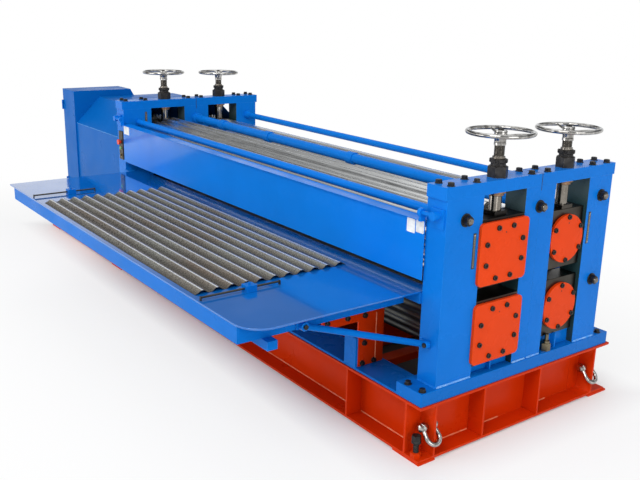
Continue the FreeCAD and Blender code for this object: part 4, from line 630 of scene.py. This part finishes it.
LEVELLERS = ((4946, 26), (1492.5, 26), (44, 26), (4848, 1367), (1492.5, 1367), (142, 1367))
shanks, lock_nuts = [], []
for x, y in LEVELLERS:
    lock_nuts.append(hex_head("z", (x, y, FLANGE_TOP), corner=27, height=23, dome=0.3))
    shanks.append(helix_thread("z", (x, y, 0), 13.4, 1.6, 3.0, 10, 92, 28))
    shanks.append(turned("z", (x, y, 91), [(0, 14), (1, 21), (3, 23), (11, 23), (14, 20)], 32))
    shanks.append(hex_head("z", (x, y, 104), corner=23, height=28, dome=0.6))
make("levelling_screws", shanks, black_steel, stands_for=("levelling_bolts",))
make("levelling_lock_nuts", lock_nuts, red_paint)


# Lifting shackles

EYE_HALF, BOW_RADIUS, LEG_DROP, BOW_WIRE = 30.0, 38.0, 54.0, 11
PIN_HEIGHT = 155.0
# The bow rests on the flange's edge, this far outwards of its pin
LEAN = math.asin(62.0 / (LEG_DROP + BOW_RADIUS))


def shackle_bow():
    """The bow's middle line as (across, down) pairs: straight legs that spread from the eyes to the bow's
    radius, then half a circle."""
    leg = np.linspace(0, 1, 8)[:-1, None] * [BOW_RADIUS - EYE_HALF, LEG_DROP] + [EYE_HALF, 0.0]
    angle = np.linspace(0, math.pi, 25)[:, None]
    crown = np.hstack([BOW_RADIUS * np.cos(angle), LEG_DROP + BOW_RADIUS * np.sin(angle)])
    return np.vstack([leg, crown, (leg * [-1, 1])[::-1]])


SHACKLE_PINS = ((4940, 100), (4940, 1278), (50, 100), (50, 1278))
for corner, (pin_x, pin_y), side in zip(CORNERS, SHACKLE_PINS, (1, 1, -1, -1)):
    line = shackle_bow()
    path = np.column_stack([pin_x + side * line[:, 1] * math.sin(LEAN), pin_y + line[:, 0],
                            PIN_HEIGHT - line[:, 1] * math.cos(LEAN)])
    pin = (pin_x, pin_y, PIN_HEIGHT)
    shapes = [swept(path, circle(BOW_WIRE, 20), up=(math.cos(LEAN), 0, side * math.sin(LEAN)))]
    for low in (-EYE_HALF - 12, EYE_HALF - 12):
        shapes.append(turned("y", pin, [(low, 19), (low + 2, 22.5), (low + 5, 24), (low + 19, 24),
                                        (low + 22, 22.5), (low + 24, 19)], 36))
    shapes.append(turned("y", pin, [(-58, 10), (-56, 14), (-54, 17.5), (-46, 18.5), (-42, 18.5),
                                    (-41.5, 12.4), (50, 12.4), (52, 11)], 32))
    shapes.append(hex_head("y", (pin_x, pin_y + 42, PIN_HEIGHT), 18, 8, turn=0.3))
    node = "shackle_" + corner
    make(node + "_bow", shapes, shackle_steel, frame["nodes"][node]["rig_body"], stands_for=(node,))


# Set screws, their nuts and handwheels

SCREWS = [(x, y, wheel) for x in (SCREW_NEAR, SCREW_FAR)
          for y, wheel in ((FRONT_AXIS, FRONT_WHEEL), (REAR_AXIS, REAR_WHEEL))]
# From the wheel's middle down to its collar, and where the screw's thread starts and grows finer
COLLAR_DROP, THREAD_FOOT, THREAD_STEP = 57.94, 1300, 1390
WHEEL_RADIUS, WHEEL_RIM, RIM_POINTS = 150, 10, 96


def notched(number, radius, angle):
    """The lock nut's ring: its radius drops by 6 mm in six notches, each a third as wide as its pitch."""
    if number in (4, 5, 6, 7):
        return radius - 6.0 * (np.cos(6 * angle) > 0.5)
    return np.full(len(angle), float(radius))


blocks, flanges = [], []
for x, y, _ in SCREWS:
    blocks.append(hex_head("z", (x, y, CAP_TOP), 49, 52, dome=0.0))
    blocks.append(turned("z", (x, y, CAP_TOP + 50), [(0, 38), (3, 38), (5, 35), (14, 35), (17, 40), (19, 42),
                                                     (32, 42), (34, 40), (35, 31)], 72, radius_of=notched))
    flanges.append(turned("z", (x, y, COLUMN_TOP), [(-13, 31), (-13, 46), (-11, 48), (-5, 48), (-3, 50),
                                                    (0, 50)], 40))
    flanges.append(turned("z", (x, y, COLUMN_TOP), [(-26, 30), (-26, 36), (-24, 38), (-13, 38)], 40))
make("screw_nut_blocks", blocks, black_steel, stands_for=("screw_nuts",))
make("screw_bushes", flanges, bronze)

for key, (x, y, wheel) in zip(CORNERS, SCREWS):
    body = "screw_" + key
    base = (x, y, 0)
    collar = wheel - COLLAR_DROP
    fine = helix_thread("z", base, 24.6, 1.7, 4.0, THREAD_STEP + 1, collar, 36)
    coarse = helix_thread("z", base, 30.4, 1.4, 8.0, THREAD_FOOT, THREAD_STEP - 1, 36)
    make("thread_" + key, [fine, coarse], oiled_steel, body)
    path = np.column_stack([circle(WHEEL_RADIUS, RIM_POINTS) + [x, y], np.full(RIM_POINTS, wheel)])
    shapes = [swept(path, circle(WHEEL_RIM, 20), True)]
    # Three spokes that rise to the rim and grow thinner
    for number in range(3):
        angle = math.radians(30 + 120 * number)
        share = np.linspace(0, 1, 14)
        reach = 18 + 126 * share
        height = wheel - 15 * (1 - share) ** 1.6 - 2
        line = np.column_stack([x + reach * math.cos(angle), y + reach * math.sin(angle), height])
        widths = 1.25 - 0.35 * share
        shapes.append(swept(line, circle(8.5, 14, 0.62)[None] * widths[:, None, None]))
    shapes.append(turned("z", (x, y, wheel), [(-46, 25), (-44, 27), (-34, 27), (-30, 29), (2, 30), (7, 29),
                                              (10, 25), (10, 12)], 48))
    make("wheel_" + key, shapes, chrome, body, stands_for=("handwheel_" + key,))
    make("wheel_nut_" + key, [washer("z", (x, y, wheel + 9.6), 15, 2.4),
                              hex_head("z", (x, y, wheel + 12), 11, 5, dome=0.3)], black_steel, body)
    make("wheel_washer_" + key, [washer("z", (x, y, collar), 28, 11.5)], chrome, body)


# Weld beads, in the paint of what they join; the pale ones carry a painted highlight

# Where the columns of a stand have their feet, along y
COLUMN_SPANS = ((COLUMN_FRONT, 329), (612, SEAM - 0.5), (SEAM + 0.5, 823), (1084, COLUMN_REAR))
seams, highlit_beads = [], []
# The beads at the near column feet are pale: a painted highlight
for low, high in COLUMN_SPANS:
    highlit_beads.append(weld((NEAR_OUT, low + 4, BAR_TOP), (NEAR_OUT, high - 3, BAR_TOP), (1, 0, 0), (0, 0, 1), 5.5,
                      0.35))
for outer, inner, side in ((NEAR_OUT, NEAR_IN, 1), (FAR_OUT, FAR_IN, -1)):
    for low, high in COLUMN_SPANS:
        seams.append(weld((inner, low, BAR_TOP), (inner, high, BAR_TOP), (-side, 0, 0), (0, 0, 1), 6.0))
    for y, face in ((COLUMN_FRONT, -1), (COLUMN_REAR, 1)):
        seams.append(weld((inner, y, BAR_TOP), (outer, y, BAR_TOP), (0, face, 0), (0, 0, 1), 6.0))
make("stand_welds", seams, blue_paint)
make("column_foot_welds", highlit_beads, highlight_blue_bead)

# Under both flanges of the front beam between its ribs, and along the end beam's lower flange
RIBS, RIB_HALF = (100, 541, 1880, 3110, 4449, 4890), 6
FRONT_WEB, END_WEB = 95.0, 4895.0
# The beads on the lower flanges are pale: a painted highlight
seams, highlit_beads = [], []
for low, high in zip(RIBS[:-1], RIBS[1:]):
    low, high = low + RIB_HALF, high - RIB_HALF
    for beads, z, up in ((seams, FLANGE_UNDER, -1), (highlit_beads, FLANGE_TOP, 1)):
        beads.append(weld((low, FRONT_WEB, z), (high, FRONT_WEB, z), (0, -1, 0), (0, 0, up), 4.0))
for low, high in ((206, 416), (432, 640), (836, 1010)):
    highlit_beads.append(weld((END_WEB, low, FLANGE_TOP), (END_WEB, high, FLANGE_TOP), (1, 0, 0), (0, 0, 1), 4.5))
make("beam_welds", seams, red_paint)
make("flange_welds", highlit_beads, highlight_red_bead)


# Seam between the front and the rear cap, and the sockets at the far ends of two tie pipes

seams = []
for outer, inner in ((NEAR_OUT, NEAR_IN), (FAR_IN, FAR_OUT)):
    y = (SEAM - 1.6, SEAM + 1.6)
    seams.append(block((outer, outer + 0.5), y, (COLUMN_TOP - 22, CAP_TOP)))
    seams.append(block((inner, outer + 0.5), y, (CAP_TOP, CAP_TOP + 0.5)))
make("cap_seams", seams, black_steel)
make("tie_sockets", [
    turned("x", (FAR_IN, TIE_REAR, TIE_HIGH), [(0, 32), (26, 31), (44, 25), (46, 22.2)], 40),
    turned("x", (FAR_IN, TIE_MIDDLE, TIE_HIGH), [(0, 41), (38, 41), (42, 39), (44, 31.2)], 48)], blue_paint)


# Struts and supports: a boss with a bolt at each end of a strut, and the bolts of the near support's plate

STRUT_Y, STRUT_Z, FOOT_Y, FOOT_Z = -490, 722, 74, 556
SUPPORT_FACE = 4502
ends, bolts = [], []
for rim, foot, side in ((RIM_NEAR, 4892, 1), (RIM_FAR, 1480, -1)):
    # The rows run along +x on both sides, so that the faces point outwards
    profile = [(side * reach, radius) for reach, radius in ((8, 20), (30, 20), (32, 18))[::side]]
    ends.append(turned("x", (rim, STRUT_Y, STRUT_Z), profile, 32))
    bolts.append(hex_head("x", (rim + side * 32, STRUT_Y, STRUT_Z), 12, 8, sign=side, turn=0.2))
    spot = (foot + side * 20, FOOT_Y, FOOT_Z)
    ends.append(turned("y", spot, [(0, 14), (2, 16), (20, 16)], 32))
    bolts.append(hex_head("y", spot, 12, 8, sign=-1, turn=0.4))
make("strut_ends", ends, blue_paint)
for y, z in ((-173, 578), (-51, 578), (58, 571), (60, 425), (124, 319), (50, 319)):
    bolts.append(washer("x", (SUPPORT_FACE, y, z), 15, 2.5))
    bolts.append(hex_head("x", (SUPPORT_FACE + 2.5, y, z), 13, 10, turn=0.03 * y, dome=0.3))
make("strut_and_support_bolts", bolts, black_steel)
# The support's seam is in the pale red: a painted highlight
seam = weld((SUPPORT_FACE, 134, 305), (SUPPORT_FACE, 134, 576), (1, 0, 0), (0, -1, 0), 4.0)
make("support_seam", [seam], highlight_red_bead)


# Depth scales beside the upper chocks: a steel strip with a screw at each end and bare ticks, on a black
# plate that is a painted shadow round the strip

TICK_STEP, END_GAP = 5, 12
SCALES = ((NEAR_OUT, 286, 903, 1062), (NEAR_OUT, 1113, 896, 1054), (FAR_IN, 285, 1130, 1206))
strips, screws, ticks = [], [], []
for face, y, low, high in SCALES:
    # A black plate a little wider than the strip lies behind it: a painted shadow
    ticks.append(block((face, face + 1), (y - 9, y + 9), (low - 4, high + 4)))
    strips.append(block((face + 1, face + 1.6), (y - 6, y + 6), (low, high)))
    for z in (low + 6, high - 6):
        screws.append(turned("x", (face + 1.5, y, z), [(0, 4.5), (1.6, 4.5), (2.6, 3)], 20))
    for number in range(int((high - low - 2 * END_GAP) / TICK_STEP)):
        reach = 6.0 if number % 2 == 0 else 3.5
        z = low + END_GAP + 1 + TICK_STEP * number
        ticks.append(block((face + 1.5, face + 1.8), (y - 6, y - 6 + reach), (z, z + 1.0)))
make("scale_strips", strips, scale_steel)
make("scale_screws", screws, chrome)
make("scale_ticks_and_shadow_plate", ticks, tick_black)


# Jack screw that bears up the rear lower chock, in the near stand's window

JACK_Y = 884
make("jack_screw", [
    hex_head("z", (4957, JACK_Y, BAR_TOP), 27, 42, turn=math.pi / 6, dome=0.5),
    turned("z", (4961, JACK_Y, BAR_TOP + 40), [(0, 18), (14, 18), (16, 10.5), (48, 10.5), (49, 9.5)], 32)],
    stained_steel)


# Rings round the two push buttons, and a painted highlight along the drive cover's fold: a thin pale bead

BUTTON_X, STATION_FACE, BUTTON_HEIGHTS = 1474, 92, (939, 885.25)
rings = [ring("y", (BUTTON_X, STATION_FACE, z), 15, 11.3, -2.5, 0.2) for z in BUTTON_HEIGHTS]
make("button_rings", rings, brass_yellow)
FOLD_Z = 1010
fold = weld((516, COLUMN_FRONT, FOLD_Z), (1400, COLUMN_FRONT, FOLD_Z), (0, -1, 0), (0, 0, 1), 2.2, 0.05)
make("cover_fold_highlight", [fold], highlight_blue_bead)


# Bare labels on the guard

CARD_DEPTH, ROUNDING = (88.6, 89.1), 5.0
cards = []
for x, z in (((1553, 1648), (1058, 1125)), ((4736, 4790), (1052, 1117)), ((4796, 4848), (1062, 1121))):
    left, right, bottom, top = x[0] + ROUNDING, x[1] - ROUNDING, z[0] + ROUNDING, z[1] - ROUNDING
    outline = []
    for centre_x, centre_z, first in ((right, top, 0), (left, top, 90), (left, bottom, 180),
                                      (right, bottom, 270)):
        for angle in np.radians(first + 22.5 * np.arange(5)):
            outline.append((centre_z + ROUNDING * math.sin(angle), centre_x + ROUNDING * math.cos(angle)))
    cards.append(plate("y", outline, CARD_DEPTH))
make("guard_labels", cards, label_white, "guard")


# Floor, light and camera

floor_look = Look("floor_white", Specular_IOR_Level=0.2, Roughness=0.6)
output = floor_look.tree.nodes["Material Output"]
paths = floor_look.add("LightPath").outputs
seen = floor_look.maths("MAXIMUM", paths["Is Camera Ray"],
                        floor_look.maths("MAXIMUM", paths["Is Glossy Ray"], paths["Is Transmission Ray"]))
place = floor_look.add("SeparateXYZ", in_0=floor_look.place).outputs


def beyond(axis, middle, half):
    """How far a point of the floor lies past the base's edge along an axis, in metres."""
    apart = floor_look.maths("ABSOLUTE", floor_look.maths("SUBTRACT", place[axis], middle))
    return floor_look.maths("SUBTRACT", apart, half)


# Painted shade on the floor inside the base, the machine's own shade round it, and plain white from there on
outside = floor_look.maths("MAXIMUM", beyond(0, -0.03, 2.5), beyond(1, 0.39, 0.7))
bright = floor_look.maths("ADD", floor_look.span(outside, -0.1, 0.25, 0.0, 0.75),
                          floor_look.span(outside, 0.25, 2.2, 0.0, 0.25))
share = floor_look.maths("MULTIPLY", seen, bright)
# A dark brown floor colour inside the base: painted shade
ground = floor_look.span(outside, -0.22, -0.04)
floor_look.colour(floor_look.mix(ground, (0.11, 0.09, 0.07, 1), (0.9, 0.9, 0.9, 1)))
white = floor_look.add("Emission", in_Color=(1, 1, 1, 1), in_Strength=1.0).outputs[0]
mixed = floor_look.add("MixShader", in_0=share, in_1=floor_look.shader.outputs[0], in_2=white).outputs[0]
floor_look.tree.links.new(mixed, output.inputs["Surface"])
floor = bpy.data.objects.new("floor", bpy.data.meshes.new("floor"))
FLOOR_HALF = 40
corners = [(x * FLOOR_HALF, y * FLOOR_HALF, 0) for x, y in ((-1, -1), (1, -1), (1, 1), (-1, 1))]
floor.data.from_pydata(corners, [], [(0, 1, 2, 3)])
floor.data.materials.append(floor_look.material)
scene.collection.objects.link(floor)

world = bpy.data.worlds.new("studio")
scene.world = world
world.use_nodes = True
tree = world.node_tree
tree.nodes.clear()


def world_node(kind, *values):
    """A node of the world with its inputs set or joined in order; None leaves one as it is."""
    node = tree.nodes.new("ShaderNode" + kind)
    for socket, value in zip(node.inputs, values):
        if isinstance(value, bpy.types.NodeSocket):
            tree.links.new(value, socket)
        elif value is not None:
            socket.default_value = value
    return node


paths = world_node("LightPath").outputs
height = world_node("SeparateXYZ", world_node("TexCoord").outputs["Generated"]).outputs[2]
# Mirrors see a white backdrop, a darker room above it and a bright ceiling
backdrop = world_node("MapRange", height, 0.21, 0.34, 1.0, 0.15).outputs[0]
ceiling = world_node("MapRange", height, 0.5, 0.75, 0.0, 0.8).outputs[0]
ceiling = world_node("Math", backdrop, ceiling).outputs[0]
mirrored = world_node("Background", (0.96, 0.98, 1.0, 1), ceiling)
seen = world_node("Background", (1, 1, 1, 1), 1.0)
ambient = world_node("Background", (0.96, 0.98, 1.0, 1), 0.5)
through = world_node("Math", paths["Is Camera Ray"], paths["Is Transmission Ray"])
with_mirror = world_node("MixShader", paths["Is Glossy Ray"], ambient.outputs[0], mirrored.outputs[0])
whole = world_node("MixShader", through.outputs[0], with_mirror.outputs[0], seen.outputs[0])
world_node("OutputWorld", whole.outputs[0])


def lamp(name, place, target, size, power):
    """A square soft lamp aimed at a point, in metres and watts."""
    light = bpy.data.lights.new(name, "AREA")
    light.shape = "SQUARE"
    light.size = size
    light.energy = power
    holder = bpy.data.objects.new(name, light)
    holder.location = place
    holder.rotation_euler = (Vector(target) - Vector(place)).to_track_quat("-Z", "Y").to_euler()
    scene.collection.objects.link(holder)


lamp("key", (4.5, -5.5, 6.5), (0.8, 0, 0.7), 4.0, 310)
lamp("top", (0.0, 0.5, 6.0), (0.0, 0.3, 0.8), 5.0, 70)
lamp("front_fill", (-1.5, -7.0, 1.8), (0, 0, 0.5), 4.0, 180)
lamp("end_fill", (7.5, -0.5, 2.2), (2.0, 0.2, 0.7), 3.0, 90)

# The photo's camera, fitted to the machine's corners: azimuth from the front, pitch down, and roll
AZIMUTH, PITCH, ROLL = (math.radians(value) for value in (53.6, 16.1, 1.3))
level = np.array([-math.sin(AZIMUTH), math.cos(AZIMUTH), 0])
ahead = level * math.cos(PITCH) - np.array([0, 0, math.sin(PITCH)])
right = np.array([math.cos(AZIMUTH), math.sin(AZIMUTH), 0])
up = np.cross(right, ahead)
turned_right = right * math.cos(ROLL) + up * math.sin(ROLL)
turned_up = -right * math.sin(ROLL) + up * math.cos(ROLL)
camera = bpy.data.objects.new("camera", bpy.data.cameras.new("camera"))
camera.data.sensor_width = 36
camera.data.lens = 46.05
camera.data.clip_end = 100
camera.matrix_world = Matrix(np.column_stack([turned_right, turned_up, -ahead]).tolist()).to_4x4()
camera.location = (4.8687, -2.6567, 2.0345)
scene.collection.objects.link(camera)
scene.camera = camera
scene.render.resolution_x, scene.render.resolution_y = 640, 480
scene.view_settings.view_transform = "Standard"
